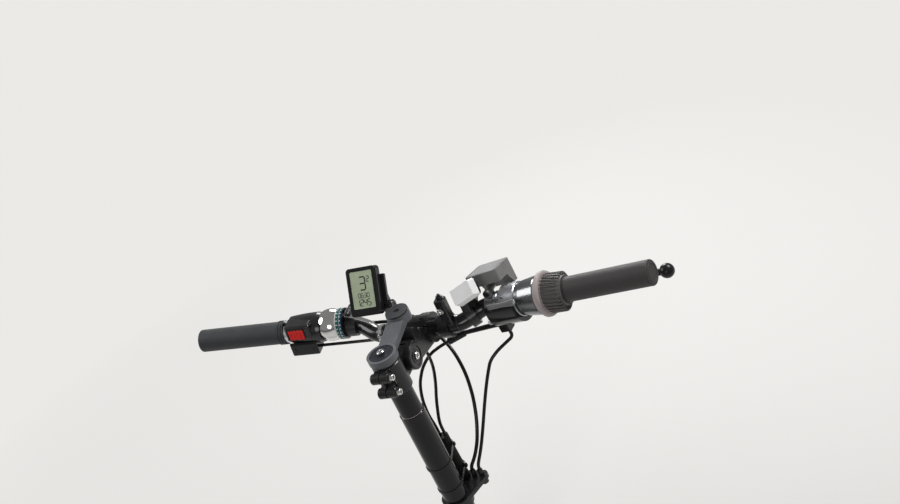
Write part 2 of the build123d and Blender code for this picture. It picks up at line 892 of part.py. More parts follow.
# Switch pod: the glossy lower part under the housing
pod_start = housing_start + housing_length - pod_from_outer_end - pod_width
with BuildPart() as switch_pod:
    with BuildSketch(left_piece(pod_start, pod_width)):
        with Locations((-pod_back, -pod_drop)):
            RectangleRounded(pod_depth, pod_height, pod_round)
    extrude(amount=pod_width)
    fillet(switch_pod.edges().group_by(Axis.X)[0], pod_round / 2)
    fillet(switch_pod.edges().group_by(Axis.X)[-1], pod_round / 2)
    with BuildSketch(left_piece(pod_start - pod_width, 3 * pod_width)):
        with Locations((0, housing_rise)):
            Circle(housing_diameter / 2 + fit_gap)
    extrude(amount=3 * pod_width, mode=Mode.SUBTRACT)
switch_pod.part.label = "switch_pod"
export_step(switch_pod.part, "parts/switch_pod.step")

# Left grip collar: the metal ring that locks the grip, with a screw ear on top
collar_start = housing_start + housing_length + housing_to_collar
with BuildPart() as left_collar:
    with BuildSketch(left_piece(collar_start, collar_width)):
        Circle(collar_diameter / 2)
        with Locations((0, collar_diameter / 2)):
            RectangleRounded(collar_ear_width, collar_ear_height, collar_ear_height / 4)
        Circle(grip_bore, mode=Mode.SUBTRACT)
    extrude(amount=collar_width)
left_collar.part.label = "left_collar"
export_step(left_collar.part, "parts/left_collar.step")

# Left grip: a rubber sleeve closed at the bar's end, with ribs at its inner end
left_grip_start = collar_start + collar_width + control_gap
rib_pitch = grip_rib_width + grip_rib_gap
with BuildPart() as left_grip:
    with BuildSketch(left_piece(left_grip_start, grip_run - left_grip_start)):
        Circle(grip_diameter / 2)
    extrude(amount=grip_run - left_grip_start)
    fillet(left_grip.edges().group_by(Axis.X)[0], grip_end_round)
    for rib in range(grip_rib_count):
        with BuildSketch(left_piece(left_grip_start + rib * rib_pitch, grip_rib_width)):
            Circle(grip_rib_diameter / 2)
        extrude(amount=grip_rib_width)
    with BuildSketch(left_piece(left_grip_start - grip_end_wall, grip_run - left_grip_start)):
        Circle(grip_bore)
    extrude(amount=grip_run, mode=Mode.SUBTRACT)
left_grip.part.label = "left_grip"
export_step(left_grip.part, "parts/left_grip.step")

# Shifter clamp: a bead and a neck, then the drum that the cable winds on, tapered a little
clamp_bore = grip_bore + control_gap
drum_start = shifter_bead_length + shifter_neck_length
shifter_clamp_length = drum_start + shifter_drum_length
with BuildPart() as shifter_clamp:
    with BuildSketch(along_grip(1, right_stack_start)):
        with BuildLine():
            Polyline(
                (0, clamp_bore),
                (0, shifter_bead_diameter / 2),
                (shifter_bead_length, shifter_bead_diameter / 2),
                (shifter_bead_length, shifter_neck_diameter / 2),
                (drum_start, shifter_neck_diameter / 2),
                (drum_start, shifter_drum_diameter / 2 - edge_break),
                (drum_start + edge_break, shifter_drum_diameter / 2),
                (shifter_clamp_length - edge_break, shifter_drum_end_diameter / 2),
                (shifter_clamp_length, shifter_drum_end_diameter / 2 - edge_break),
                (shifter_clamp_length, clamp_bore),
                close=True,
            )
        make_face()
    revolve(axis=grip_axis(1))
shifter_clamp.part.label = "shifter_clamp"
export_step(shifter_clamp.part, "parts/shifter_clamp.step")

# Shifter housing: a groove, then a barrel that widens towards the twist grip's rim
shifter_start = right_stack_start + shifter_clamp_length + control_gap
shifter_end = shifter_groove_length + shifter_housing_length
with BuildPart() as shifter_housing:
    with BuildSketch(along_grip(1, shifter_start)):
        with BuildLine():
            Polyline(
                (0, clamp_bore),
                (0, shifter_groove_diameter / 2),
                (shifter_groove_length, shifter_groove_diameter / 2),
                (shifter_groove_length, shifter_housing_start_diameter / 2 - edge_break),
                (shifter_groove_length + edge_break, shifter_housing_start_diameter / 2),
                (shifter_end - edge_break, shifter_housing_diameter / 2),
                (shifter_end, shifter_housing_diameter / 2 - edge_break),
                (shifter_end, clamp_bore),
                close=True,
            )
        make_face()
    revolve(axis=grip_axis(1))
shifter_housing.part.label = "shifter_housing"
export_step(shifter_housing.part, "parts/shifter_housing.step")

# Twist grip: a rubber cone with raised ribs all round, ending in a broad rounded rim
flange_start = shifter_start + shifter_end + control_gap
cone_start = flange_start + flange_width
twist_plane = along_grip(1, flange_start)
twist_length = flange_width + twist_cone_length
rib_planes = [twist_plane.rotated((360 / twist_rib_count * rib, 0, 0)) for rib in range(twist_rib_count)]
with BuildPart() as twist_grip:
    with BuildSketch(twist_plane):
        with BuildLine():
            Polyline(
                (flange_width - flange_round, flange_diameter / 2),
                (flange_round, flange_diameter / 2),
                (0, flange_diameter / 2 - flange_round),
                (0, grip_bore),
                (twist_length, grip_bore),
                (twist_length, twist_tip_diameter / 2),
                (flange_width, twist_cone_diameter / 2),
            )
            ThreePointArc(
                (flange_width, twist_cone_diameter / 2),
                (flange_width - flange_round * 0.3, flange_diameter / 2 - flange_round * 0.3),
                (flange_width - flange_round, flange_diameter / 2),
            )
        make_face()
    revolve(axis=grip_axis(1))
    with BuildSketch(*rib_planes):
        with BuildLine():
            Polyline(
                (flange_width - 1, twist_cone_diameter / 2 - 1),
                (flange_width - 1, twist_cone_diameter / 2 + twist_rib_height),
                (twist_length - 3, twist_tip_diameter / 2 + twist_rib_height + 1),
                (twist_length - 2, twist_tip_diameter / 2 - 1),
                close=True,
            )
        make_face()
    extrude(amount=twist_rib_width / 2, both=True)
twist_grip.part.label = "twist_grip"
export_step(twist_grip.part, "parts/twist_grip.step")

# Right grip: the fixed outer part, closed at the bar's end
right_grip_start = flange_start + twist_length + control_gap
with BuildPart() as right_grip:
    with BuildSketch(about_bar(1, right_grip_start)):
        Circle(grip_diameter / 2)
    extrude(amount=grip_run - right_grip_start)
    fillet(right_grip.edges().group_by(Axis.X)[-1], grip_end_round)
    with BuildSketch(about_bar(1, right_grip_start)):
        Circle(grip_bore)
    extrude(amount=grip_run - right_grip_start - grip_end_wall, mode=Mode.SUBTRACT)
right_grip.part.label = "right_grip"
export_step(right_grip.part, "parts/right_grip.step")


# Brake perches and levers, drawn on the right in a plane through the grip's axis that
# slopes forward and down, and mirrored for the left
def lever_plane(height):
    """Local x out along the grip, y forward and down to the lever, raised by height."""
    across = about_bar(1, 0)
    slope = radians(lever_drop_angle)
    normal = across.y_dir * cos(slope) + across.x_dir * sin(slope)
    return Plane(origin=across.origin + normal * height, x_dir=across.z_dir, z_dir=normal)


perch_middle = about_bar(1, perch_start + perch_width / 2)
perch_ring_plane = perch_middle.offset(-perch_width / 2)
perch_root = lever_plane(0).to_local_coords(perch_middle.origin)
lever_pivot = (lever_pivot_out, lever_pivot_forward)
adjuster_face = perch_root.X - perch_width / 2 - adjuster_boss_proud
adjuster_seat = lever_plane(0).from_local_coords((adjuster_face, adjuster_out, 0))
with BuildPart() as right_perch:
    with BuildSketch(perch_ring_plane):
        Circle(perch_diameter / 2)
    extrude(amount=perch_width)
    with BuildSketch(lever_plane(-perch_thickness / 2)):
        with BuildLine():
            CenterArc((perch_root.X, perch_arm_root_out), perch_width / 2, 0, 360)
            CenterArc(lever_pivot, perch_pivot_diameter / 2, 0, 360)
        make_hull()
    extrude(amount=perch_thickness)
    with BuildSketch(Plane(origin=adjuster_seat, z_dir=about_bar(1, 0).z_dir)):
        Circle(adjuster_boss_diameter / 2)
    extrude(amount=adjuster_boss_length)
    with BuildSketch(lever_plane(-lever_thickness / 2 - lever_slot_gap)):
        with Locations(lever_pivot):
            Circle(perch_slot_diameter / 2)
    extrude(amount=lever_thickness + 2 * lever_slot_gap, mode=Mode.SUBTRACT)
    with BuildSketch(perch_middle):
        with Locations((0, (grip_bore + pinch_barrel_up) / 2)):
            Rectangle(pinch_barrel_diameter, pinch_barrel_up - grip_bore)
    extrude(amount=perch_width / 2 - 1, both=True)
    barrel_start = perch_middle.from_local_coords((-pinch_barrel_back, pinch_barrel_up, 0))
    with BuildSketch(Plane(origin=barrel_start, z_dir=perch_middle.x_dir)):
        Circle(pinch_barrel_diameter / 2)
    extrude(amount=pinch_barrel_length)
    with BuildSketch(perch_ring_plane.offset(-perch_width)):
        Circle(grip_bore + 2 * control_gap)
    extrude(amount=3 * perch_width, mode=Mode.SUBTRACT)
    with BuildSketch(about_bar(1, right_stack_start - control_gap)):
        Circle(shifter_bead_diameter / 2 + control_gap)
    extrude(amount=drum_start, mode=Mode.SUBTRACT)
    with BuildSketch(about_bar(1, right_stack_start + drum_start - control_gap)):
        Circle(shifter_drum_diameter / 2 + control_gap)
    extrude(amount=lever_pivot_out, mode=Mode.SUBTRACT)
    with BuildSketch(lever_plane(-perch_thickness / 2)):
        with Locations(lever_pivot):
            Circle(perch_pin_diameter / 2)
    extrude(amount=perch_thickness)
right_perch.part.label = "right_perch"
export_step(right_perch.part, "parts/right_perch.step")

# Levers: a blade that curves out from its pivot, runs along the grip and ends in a ball. It is
# drawn flat and then laid in its plane
lever_end = (grip_run - lever_end_from_tip, lever_end_forward)
knuckle = (lever_pivot_out + lever_knuckle_along, lever_knuckle_forward)
with BuildPart() as flat_lever:
    with BuildSketch(Plane.XY.offset(-lever_thickness / 2)):
        with BuildLine():
            front_curve = ThreePointArc(
                (lever_pivot[0], lever_pivot[1] + lever_root_width / 2),
                (
                    (lever_pivot[0] + knuckle[0]) / 2,
                    (lever_pivot[1] + 2 * knuckle[1]) / 3 + lever_knuckle_width / 2,
                ),
                (knuckle[0], knuckle[1] + lever_knuckle_width / 2),
            )
            Polyline(
                front_curve @ 1,
                (lever_end[0], lever_end[1] + lever_tip_width / 2),
                (lever_end[0], lever_end[1] - lever_tip_width / 2),
                (knuckle[0] + lever_knuckle_width, knuckle[1] - lever_knuckle_width / 2),
            )
            ThreePointArc(
                (knuckle[0] + lever_knuckle_width, knuckle[1] - lever_knuckle_width / 2),
                (knuckle[0] - lever_knuckle_width, knuckle[1] - lever_knuckle_width * 0.8),
                (lever_pivot[0], lever_pivot[1] - lever_root_width / 2),
            )
            Line((lever_pivot[0], lever_pivot[1] - lever_root_width / 2), front_curve @ 0)
        make_face()
    extrude(amount=lever_thickness)
    blade_faces = flat_lever.faces().filter_by(Plane.XY)
    fillet(blade_faces.edges().filter_by(lambda edge: edge.length > lever_root_width * 1.5), lever_round)
    with BuildSketch(Plane.XY.offset(-lever_thickness / 2)):
        with Locations(lever_pivot):
            Circle(lever_root_width / 2)
    extrude(amount=lever_thickness)
    with BuildSketch(Plane.XY.offset(-lever_thickness)):
        with Locations(lever_pivot):
            Circle(perch_pin_diameter / 2 + fit_gap)
    extrude(amount=2 * lever_thickness, mode=Mode.SUBTRACT)
    with Locations((*lever_end, 0)):
        Sphere(lever_ball_diameter / 2)
with BuildPart() as right_lever:
    with Locations(lever_plane(0).location):
        add(flat_lever.part)
right_lever.part.label = "right_lever"
export_step(right_lever.part, "parts/right_lever.step")

# The left perch and lever are the right ones mirrored, further in along the bar to clear the bell
left_step = about_bar(-1, 0).z_dir * left_perch_inward
bell_room = bell_ring_length + bell_body_length + bell_to_housing
with BuildPart() as left_perch:
    with Locations(left_step):
        add(right_perch.part.mirror(Plane.YZ))
    with BuildSketch(left_piece(left_stack_start - control_gap, bell_room)):
        with Locations((0, bell_rise)):
            Circle(bell_diameter / 2 + control_gap)
    extrude(amount=bell_room, mode=Mode.SUBTRACT)
left_perch.part.label = "left_perch"
export_step(left_perch.part, "parts/left_perch.step")

with BuildPart() as left_lever:
    with Locations(left_step):
        add(right_lever.part.mirror(Plane.YZ))
left_lever.part.label = "left_lever"
export_step(left_lever.part, "parts/left_lever.step")

# Left adjuster: a knurled collar and nose on the perch's boss, where the brake cable leaves
cable_inward = about_bar(-1, 0).z_dir
left_seat = Vector(-adjuster_seat.X, adjuster_seat.Y, adjuster_seat.Z) + left_step
nose_start = left_seat + cable_inward * adjuster_collar_length
with BuildPart() as left_adjuster:
    with BuildSketch(Plane(origin=left_seat, z_dir=cable_inward)):
        Circle(adjuster_diameter / 2)
    extrude(amount=adjuster_collar_length)
    with BuildSketch(Plane(origin=nose_start, z_dir=cable_inward)):
        Circle(adjuster_nose_diameter / 2)
    extrude(amount=adjuster_nose_length)
left_adjuster.part.label = "left_adjuster"
export_step(left_adjuster.part, "parts/left_adjuster.step")

# Cable box: the block under the right perch that the two shifter cables come out of, and its
# guard, which wraps the rider's side of the shifter drum
with BuildPart() as cable_box:
    with BuildSketch(perch_ring_plane):
        with Locations((cable_box_forward, -cable_box_drop / 2)):
            RectangleRounded(cable_box_depth, cable_box_drop, cable_box_round)
        Circle(perch_diameter / 2 + fit_gap, mode=Mode.SUBTRACT)
    extrude(amount=perch_width)
    with BuildSketch(about_bar(1, guard_start)):
        with BuildLine():
            guard_outside = CenterArc((0, 0), guard_radius + guard_wall, guard_top_angle, guard_sweep)
            guard_inside = CenterArc((0, 0), guard_radius, guard_top_angle, guard_sweep)
            Line(guard_outside @ 0, guard_inside @ 0)
            Line(guard_outside @ 1, guard_inside @ 1)
        make_face()
    extrude(amount=guard_length)
cable_box.part.label = "cable_box"
export_step(cable_box.part, "parts/cable_box.step")

# Shifter arm: a tapered tube from the box towards the stem, cut square to its neighbours
arm_start = perch_ring_plane.from_local_coords((cable_box_forward, -arm_drop, 0))
arm_end = Vector(arm_end_x, arm_end_y, stem_top - arm_end_drop)
barrel_end = Vector(barrel_end_x, barrel_end_y, stem_top - barrel_end_drop)
arm_line = arm_end - arm_start
barrel_line = barrel_end - arm_end
with BuildPart() as shifter_arm:
    with BuildSketch(Plane(origin=arm_start, x_dir=arm_line, z_dir=arm_line.cross(Vector(0, 0, 1)))):
        with BuildLine():
            Polyline(
                (-arm_root_diameter, 0),
                (-arm_root_diameter, arm_root_diameter / 2),
                (arm_line.length + arm_tip_diameter, arm_tip_diameter / 2),
                (arm_line.length + arm_tip_diameter, 0),
                close=True,
            )
        make_face()
    revolve(axis=Axis(arm_start, arm_line))
    split(bisect_by=Plane(origin=arm_start, z_dir=-perch_ring_plane.z_dir), keep=Keep.TOP)
    split(bisect_by=Plane(origin=arm_end, z_dir=barrel_line), keep=Keep.BOTTOM)
shifter_arm.part.label = "shifter_arm"
export_step(shifter_arm.part, "parts/shifter_arm.step")

# Shifter barrel: a ringed adjuster at the arm's end
ring_pitch = barrel_line.length / barrel_ring_count
with BuildPart() as shifter_barrel:
    with BuildSketch(Plane(origin=arm_end, z_dir=barrel_line)):
        Circle(barrel_groove_diameter / 2)
    extrude(amount=barrel_line.length)
    for ring in range(barrel_ring_count):
        with BuildSketch(Plane(origin=arm_end, z_dir=barrel_line).offset((ring + 0.2) * ring_pitch)):
            Circle(barrel_diameter / 2)
        extrude(amount=ring_pitch * 0.6)
shifter_barrel.part.label = "shifter_barrel"
export_step(shifter_barrel.part, "parts/shifter_barrel.step")

# Display: a flat case that leans back to face the rider, with its glass in a recess
tilt = radians(display_tilt)
display_plane = Plane(
    origin=(display_x, bar_reach - display_behind_bar, bar_height + display_above_bar),
    x_dir=(1, 0, 0),
    z_dir=(0, -cos(tilt), sin(tilt)),
)
with BuildPart() as display_case:
    with BuildSketch(display_plane.offset(-display_thickness)):
        RectangleRounded(display_width, display_height, display_corner)
    extrude(amount=display_thickness)
    fillet(display_case.faces().filter_by(display_plane).edges(), display_edge_round)
    with BuildSketch(display_plane.offset(-screen_depth)):
        with Locations((0, screen_raise / 2)):
            RectangleRounded(screen_width, screen_height, screen_corner)
    extrude(amount=screen_depth, mode=Mode.SUBTRACT)
display_case.part.label = "display_case"
export_step(display_case.part, "parts/display_case.step")

with BuildPart() as display_glass:
    with BuildSketch(display_plane.offset(-screen_depth)):
        with Locations((0, screen_raise / 2)):
            RectangleRounded(screen_width - 2 * fit_gap, screen_height - 2 * fit_gap, screen_corner)
    extrude(amount=glass_thickness)
display_glass.part.label = "display_glass"
export_step(display_glass.part, "parts/display_glass.step")

# Display mount: a clamp on the bar, a hinged arm and the plate behind the case
plate_plane = display_plane.offset(-display_thickness - control_gap - mount_plate_thickness)
with BuildPart() as display_mount:
    with BuildSketch(Plane.YZ.offset(mount_x - mount_width / 2)):
        with Locations((bar_reach, bar_height)):
            Circle(bar_centre_diameter / 2 + mount_wall)
        with Locations((bar_reach + mount_arm_forward, bar_height + mount_arm_height / 2)):
            Rectangle(mount_arm_thickness, mount_arm_height)
    extrude(amount=mount_width)
    with BuildSketch(Plane.YZ.offset(mount_x - mount_hinge_width / 2)):
        with Locations((bar_reach + mount_hinge_forward, bar_height + mount_hinge_up)):
            Circle(mount_hinge_diameter / 2)
    extrude(amount=mount_hinge_width)
    split(bisect_by=plate_plane.offset(mount_plate_thickness), keep=Keep.BOTTOM)
    with BuildSketch(plate_plane):
        with Locations((mount_plate_shift, 0)):
            RectangleRounded(mount_plate_width, mount_plate_height, screen_corner)
    extrude(amount=mount_plate_thickness)
    with BuildSketch(Plane.YZ.offset(mount_x - mount_width)):
        with Locations((bar_reach, bar_height)):
            Circle(bar_centre_diameter / 2 + fit_gap)
    extrude(amount=2 * mount_width, mode=Mode.SUBTRACT)
display_mount.part.label = "display_mount"
export_step(display_mount.part, "parts/display_mount.step")

# Accessory clamp: a ring on the bar right of the stem, with the block of its bracket on top
with BuildPart() as accessory_clamp:
    with BuildSketch(Plane.XY.offset(bar_height)):
        block_x = accessory_block_start + accessory_block_width / 2
        with Locations((block_x, bar_reach + accessory_block_forward)):
            RectangleRounded(accessory_block_width, accessory_block_depth, accessory_block_round)
    extrude(amount=accessory_block_up + accessory_block_height / 2)
    fillet(accessory_clamp.edges().group_by(Axis.Z)[-1], accessory_block_round / 2)
    with BuildSketch(Plane.YZ.offset(accessory_clamp_start)):
        with Locations((bar_reach, bar_height)):
            Circle(bar_centre_diameter / 2 + accessory_clamp_wall)
    extrude(amount=accessory_clamp_width)
    with BuildSketch(Plane.YZ.offset(accessory_clamp_start)):
        with Locations((bar_reach, bar_height)):
            Circle(bar_centre_diameter / 2 + fit_gap)
    extrude(amount=2 * accessory_clamp_width, mode=Mode.SUBTRACT)
accessory_clamp.part.label = "accessory_clamp"
export_step(accessory_clamp.part, "parts/accessory_clamp.step")

# Silver cover: a tapered cap on its base, turned towards the rider
cover_roll = radians(cover_roll_angle)
cover_lean = radians(cover_lean_angle)
cover_plane = Plane(
    origin=(cover_x, bar_reach - cover_behind_bar, bar_height + cover_above_bar),
    x_dir=(cos(cover_roll), 0, sin(cover_roll)),
    z_dir=(-sin(cover_roll) * sin(cover_lean), -cos(cover_lean), cos(cover_roll) * sin(cover_lean)),
)
with BuildPart() as silver_cover:
    with BuildSketch(cover_plane):
        RectangleRounded(cover_width, cover_length, cover_corner)
    extrude(amount=cover_thickness, taper=cover_taper)
silver_cover.part.label = "silver_cover"
export_step(silver_cover.part, "parts/silver_cover.step")

# Lamp: a body that nods forward and deepens to its front, its lens face recessed behind a rim
lamp_place = Location(
    (lamp_x, bar_reach + lamp_ahead, bar_height + lamp_above_bar),
    (-lamp_pitch_angle, lamp_roll_angle, -lamp_yaw_angle),
)
lamp_side_plane = Plane(lamp_place * Location((-lamp_width / 2, 0, 0)) * Plane.YZ.location)
lamp_front_plane = Plane(lamp_place * Location((0, lamp_depth, 0)) * Plane.XZ.location)
with BuildPart() as lamp_body:
    with BuildSketch(lamp_side_plane):
        with BuildLine():
            Polyline(
                (0, 0),
                (lamp_depth, 0),
                (lamp_depth, -lamp_front_height),
                (lamp_belly + lamp_corner, -lamp_front_height),
                (lamp_belly - lamp_corner, -lamp_rear_height),
                (0, -lamp_rear_height),
                close=True,
            )
        make_face()
    extrude(amount=lamp_width)
    corner_edges = lamp_body.edges().filter_by(Axis((0, 0, 0), lamp_side_plane.y_dir))
    fillet(corner_edges, lamp_corner)
    with BuildSketch(lamp_front_plane):
        with Locations((0, -lamp_front_height / 2)):
            RectangleRounded(lamp_width - 2 * lamp_rim, lamp_front_height - 2 * lamp_rim, lamp_corner)
    extrude(amount=lamp_lens_depth, mode=Mode.SUBTRACT)
lamp_body.part.label = "lamp_body"
export_step(lamp_body.part, "parts/lamp_body.step")

# Cover base: the block under the silver cover, its post and ring on the bar, and the lamp's arm
cover_ring_plane = along_bar(cover_ring_from_middle - cover_ring_width / 2)
cover_foot_plane = Plane(origin=along_bar(cover_ring_from_middle).origin, x_dir=(0, 1, 0), z_dir=(1, 0, 0))
with BuildPart() as cover_base:
    with BuildSketch(cover_plane):
        RectangleRounded(
            cover_width - 2 * cover_base_inset, cover_length - 2 * cover_base_inset, cover_corner
        )
    extrude(amount=-cover_base_thickness)
    with BuildSketch(cover_ring_plane):
        Circle(bar_diameter / 2 + cover_ring_wall)
    extrude(amount=cover_ring_width)
    with BuildSketch(cover_foot_plane.offset(-cover_ring_width / 2)):
        with Locations((cover_post_forward, cover_post_top / 2)):
            Rectangle(cover_post_depth, cover_post_top)
    extrude(amount=cover_ring_width)
    with BuildSketch(cover_foot_plane.offset(lamp_arm_start)):
        with BuildLine():
            Polyline(
                (lamp_arm_root, lamp_arm_low),
                (lamp_arm_root + lamp_arm_depth, lamp_arm_low),
                (lamp_arm_tip + lamp_arm_depth + lamp_arm_spread, lamp_arm_high),
                (lamp_arm_tip, lamp_arm_high),
                close=True,
            )
        make_face()
    extrude(amount=lamp_arm_width)
    add(lamp_body.part, mode=Mode.SUBTRACT)
    add(silver_cover.part, mode=Mode.SUBTRACT)
    with BuildSketch(cover_ring_plane.offset(-cover_ring_width / 2)):
        Circle(clamp_bore)
    extrude(amount=2 * cover_ring_width, mode=Mode.SUBTRACT)
cover_base.part.label = "cover_base"
export_step(cover_base.part, "parts/cover_base.step")

# Cable stop: a collar on the lower column with a plate whose bosses hold the casings' ends
stop_top = stem_top - cable_stop_drop
stop_points = [(cable_stop_x - cable_stop_spacing, cable_stop_y), (cable_stop_x, cable_stop_y)]
with BuildPart() as cable_stop:
    with BuildSketch(Plane.XY.offset(stop_top - cable_stop_plate)):
        with BuildLine():
            CenterArc((0, 0), cable_stop_collar / 2, 0, 360)
            CenterArc((sleeve_x, sleeve_y), sleeve_diameter / 2 + cable_stop_edge, 0, 360)
            CenterArc(stop_points[1], cable_stop_boss / 2 + cable_stop_edge, 0, 360)
        make_hull()
    extrude(amount=cable_stop_plate)
    with BuildSketch(Plane.XY.offset(stop_top - cable_stop_height)):
        Circle(cable_stop_collar / 2)
        with Locations(*stop_points):
            Circle(cable_stop_boss / 2)
    extrude(amount=cable_stop_height)
    with BuildSketch(Plane.XY.offset(stop_top - cable_stop_height)):
        Circle(lower_column_diameter / 2)
    extrude(amount=cable_stop_height, mode=Mode.SUBTRACT)
cable_stop.part.label = "cable_stop"
export_step(cable_stop.part, "parts/cable_stop.step")


# Cables: straight runs joined by tangent arcs, from the controls to the stop
def cable_radii(points):
    """Largest tangent arc at each corner: 0.45 of the shorter run over tan(turn / 2)."""
    radii = []
    for before, here, after in zip(points, points[1:], points[2:]):
        arrive = here - before
        leave = after - here
        turn = radians(arrive.get_angle(leave))
        radii.append(0.45 * min(arrive.length, leave.length) / tan(turn / 2))
    return radii


def raised(x, y, drop):
    """Point given by its drop below the stem's top."""
    return Vector(x, y, stem_top - drop)


left_cable_exit = nose_start + cable_inward * adjuster_nose_length
left_cable_points = [
    left_cable_exit,
    left_cable_exit + cable_inward * 20,
    raised(-36, 152, 68),
    raised(-4, 142, 84),
    raised(18, 125, 104),
    raised(33, 104, 128),
    raised(40, 84, 153),
    raised(41, 65, 178),
    raised(36, 50, 203),
    raised(27, 42, 222),
    raised(*stop_points[0], cable_stop_drop - 14),
    raised(*stop_points[0], cable_stop_drop),
]
down_cable_exit = perch_ring_plane.from_local_coords((cable_box_forward, -cable_box_drop, perch_width / 2))
down_cable_points = [
    down_cable_exit,
    down_cable_exit - perch_ring_plane.y_dir * 12,
    raised(92, 105, 98),
    raised(80, 97, 107),
    raised(69, 87, 130),
    raised(59, 74, 156),
    raised(50, 60, 183),
    raised(40, 47, 210),
    raised(*stop_points[1], cable_stop_drop - 15),
    raised(*stop_points[1], cable_stop_drop),
]
across_cable_points = [
    barrel_end,
    barrel_end + barrel_line.normalized() * 15,
    raised(-12, 114, 96),
    raised(-24, 102, 107),
    raised(-28, 84, 120),
    raised(-24, 66, 134),
    raised(-14, 48, 146),
    raised(-2, sleeve_y, 156),
    raised(-2, sleeve_y, sleeve_drop),
]
pod_face = about_bar(-1, pod_start)
switch_wire_exit = pod_face.from_local_coords((-pod_back / 2, -pod_drop - pod_height / 3, 0))
switch_wire_points = [
    switch_wire_exit,
    switch_wire_exit + pod_face.z_dir * 46,
    raised(-54, 131, 73),
    raised(-28, 124, 78),
    raised(-10, 108, 88),
    raised(0, 90, 100),
    raised(5, 70, 112),
    raised(6, 52, 126),
    raised(6, sleeve_y, 150),
    raised(6, sleeve_y, sleeve_drop),
]
for cable_name, cable_points, cable_diameter in (
    ("left_brake_cable", left_cable_points, brake_cable_diameter),
    ("down_shift_cable", down_cable_points, shift_cable_diameter),
    ("across_shift_cable", across_cable_points, shift_cable_diameter),
    ("switch_wire", switch_wire_points, switch_wire_diameter),
):
    radii = cable_radii(cable_points)
    print(cable_name, "radii", [round(radius) for radius in radii])
    with BuildPart() as cable:
        with BuildLine() as cable_path:
            FilletPolyline(*cable_points, radius=radii)
        with BuildSketch(Plane(origin=cable_path.wire() @ 0, z_dir=cable_path.wire() % 0)):
            Circle(cable_diameter / 2)
        sweep(path=cable_path.wire())
    print(cable_name, "length", round(cable_path.wire().length))
    cable.part.label = cable_name
    export_step(cable.part, f"parts/{cable_name}.step")

# Wiring sleeve: the tapered wrap that carries the wires down beside the column
with BuildPart() as wiring_sleeve:
    with BuildSketch(Plane(origin=(sleeve_x, sleeve_y, stop_top), x_dir=(1, 0, 0), z_dir=(0, -1, 0))):
        with BuildLine():
            Polyline(
                (0, 0),
                (sleeve_diameter / 2, 0),
                (sleeve_top_diameter / 2, cable_stop_drop - sleeve_drop),
                (0, cable_stop_drop - sleeve_drop),
                close=True,
            )
        make_face()
    revolve(axis=Axis((sleeve_x, sleeve_y, stop_top), (0, 0, 1)))
wiring_sleeve.part.label = "wiring_sleeve"
export_step(wiring_sleeve.part, "parts/wiring_sleeve.step")
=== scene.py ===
import math

import bmesh
import bpy
from mathutils import Matrix, Vector


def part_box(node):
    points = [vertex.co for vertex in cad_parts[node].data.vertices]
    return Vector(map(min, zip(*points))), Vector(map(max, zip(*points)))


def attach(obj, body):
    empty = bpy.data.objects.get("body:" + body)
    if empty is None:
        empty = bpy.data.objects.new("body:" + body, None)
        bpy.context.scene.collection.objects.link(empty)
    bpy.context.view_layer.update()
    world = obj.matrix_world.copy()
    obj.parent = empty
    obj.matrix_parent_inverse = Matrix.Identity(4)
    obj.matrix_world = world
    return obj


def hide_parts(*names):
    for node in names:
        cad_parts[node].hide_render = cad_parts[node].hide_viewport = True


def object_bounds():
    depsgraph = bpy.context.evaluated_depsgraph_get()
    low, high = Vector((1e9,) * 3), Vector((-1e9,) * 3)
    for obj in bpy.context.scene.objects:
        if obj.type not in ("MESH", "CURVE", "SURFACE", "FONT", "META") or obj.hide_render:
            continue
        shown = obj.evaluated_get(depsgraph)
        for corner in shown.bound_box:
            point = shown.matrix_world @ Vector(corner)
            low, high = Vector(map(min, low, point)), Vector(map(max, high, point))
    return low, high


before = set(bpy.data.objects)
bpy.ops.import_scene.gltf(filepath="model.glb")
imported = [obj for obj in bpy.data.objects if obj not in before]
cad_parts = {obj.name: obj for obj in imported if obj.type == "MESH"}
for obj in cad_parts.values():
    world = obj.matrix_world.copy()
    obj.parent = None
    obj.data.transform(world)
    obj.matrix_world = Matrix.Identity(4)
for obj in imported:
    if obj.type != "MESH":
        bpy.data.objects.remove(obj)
cad_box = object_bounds()

# Studio: a wide pale floor under the column's foot, big soft lamps and a pale surround. Far from
# the part the floor shows one even colour. The camera stands behind the rider's right shoulder.
floor_half_width = 24
floor_colour = (0.61, 0.602, 0.588, 1)
floor_roughness = 0.9
far_floor_colour = (0.83, 0.82, 0.8, 1)
floor_shade_reach = (0.35, 1.6)
surround_colour = (0.83, 0.83, 0.83, 1)
surround_light = 0.2
surround_in_reflections = 0.14
camera_place = (0.7106, -0.9627, 1.0727)
camera_right = Vector((0.8816, 0.2861, -0.3752))
camera_up = Vector((0.1554, 0.5747, 0.8034))
camera_back = Vector((0.4455, -0.7667, 0.4622))
focal_pixels = 1113.96
picture_width = 900
sensor_width = 36
lamps = (
    ("key_lamp", (1.3, 0.9, 1.9), 0.7, 40),
    ("left_lamp", (-1.6, -0.1, 1.4), 1.1, 18),
    ("back_lamp", (-0.4, 1.8, 1.1), 0.7, 22),
    ("rider_side_lamp", (0.2, -1.9, 1.1), 1.0, 11),
)
lamp_target = Vector((0, 0.1, 0.3))


def add_node(tree, kind, inputs=None, **settings):
    """Adds a node with its settings, and links its inputs to sockets or gives them values."""
    made = tree.nodes.new(kind)
    for name, value in settings.items():
        setattr(made, name, value)
    for key, value in (inputs or {}).items():
        if isinstance(value, bpy.types.NodeSocket):
            tree.links.new(value, made.inputs[key])
        else:
            made.inputs[key].default_value = value
    return made


def compute(tree, operation, *values):
    """Adds a math node on sockets or values, and returns its result."""
    made = add_node(tree, "ShaderNodeMath", dict(enumerate(values)), operation=operation)
    return made.outputs[0]


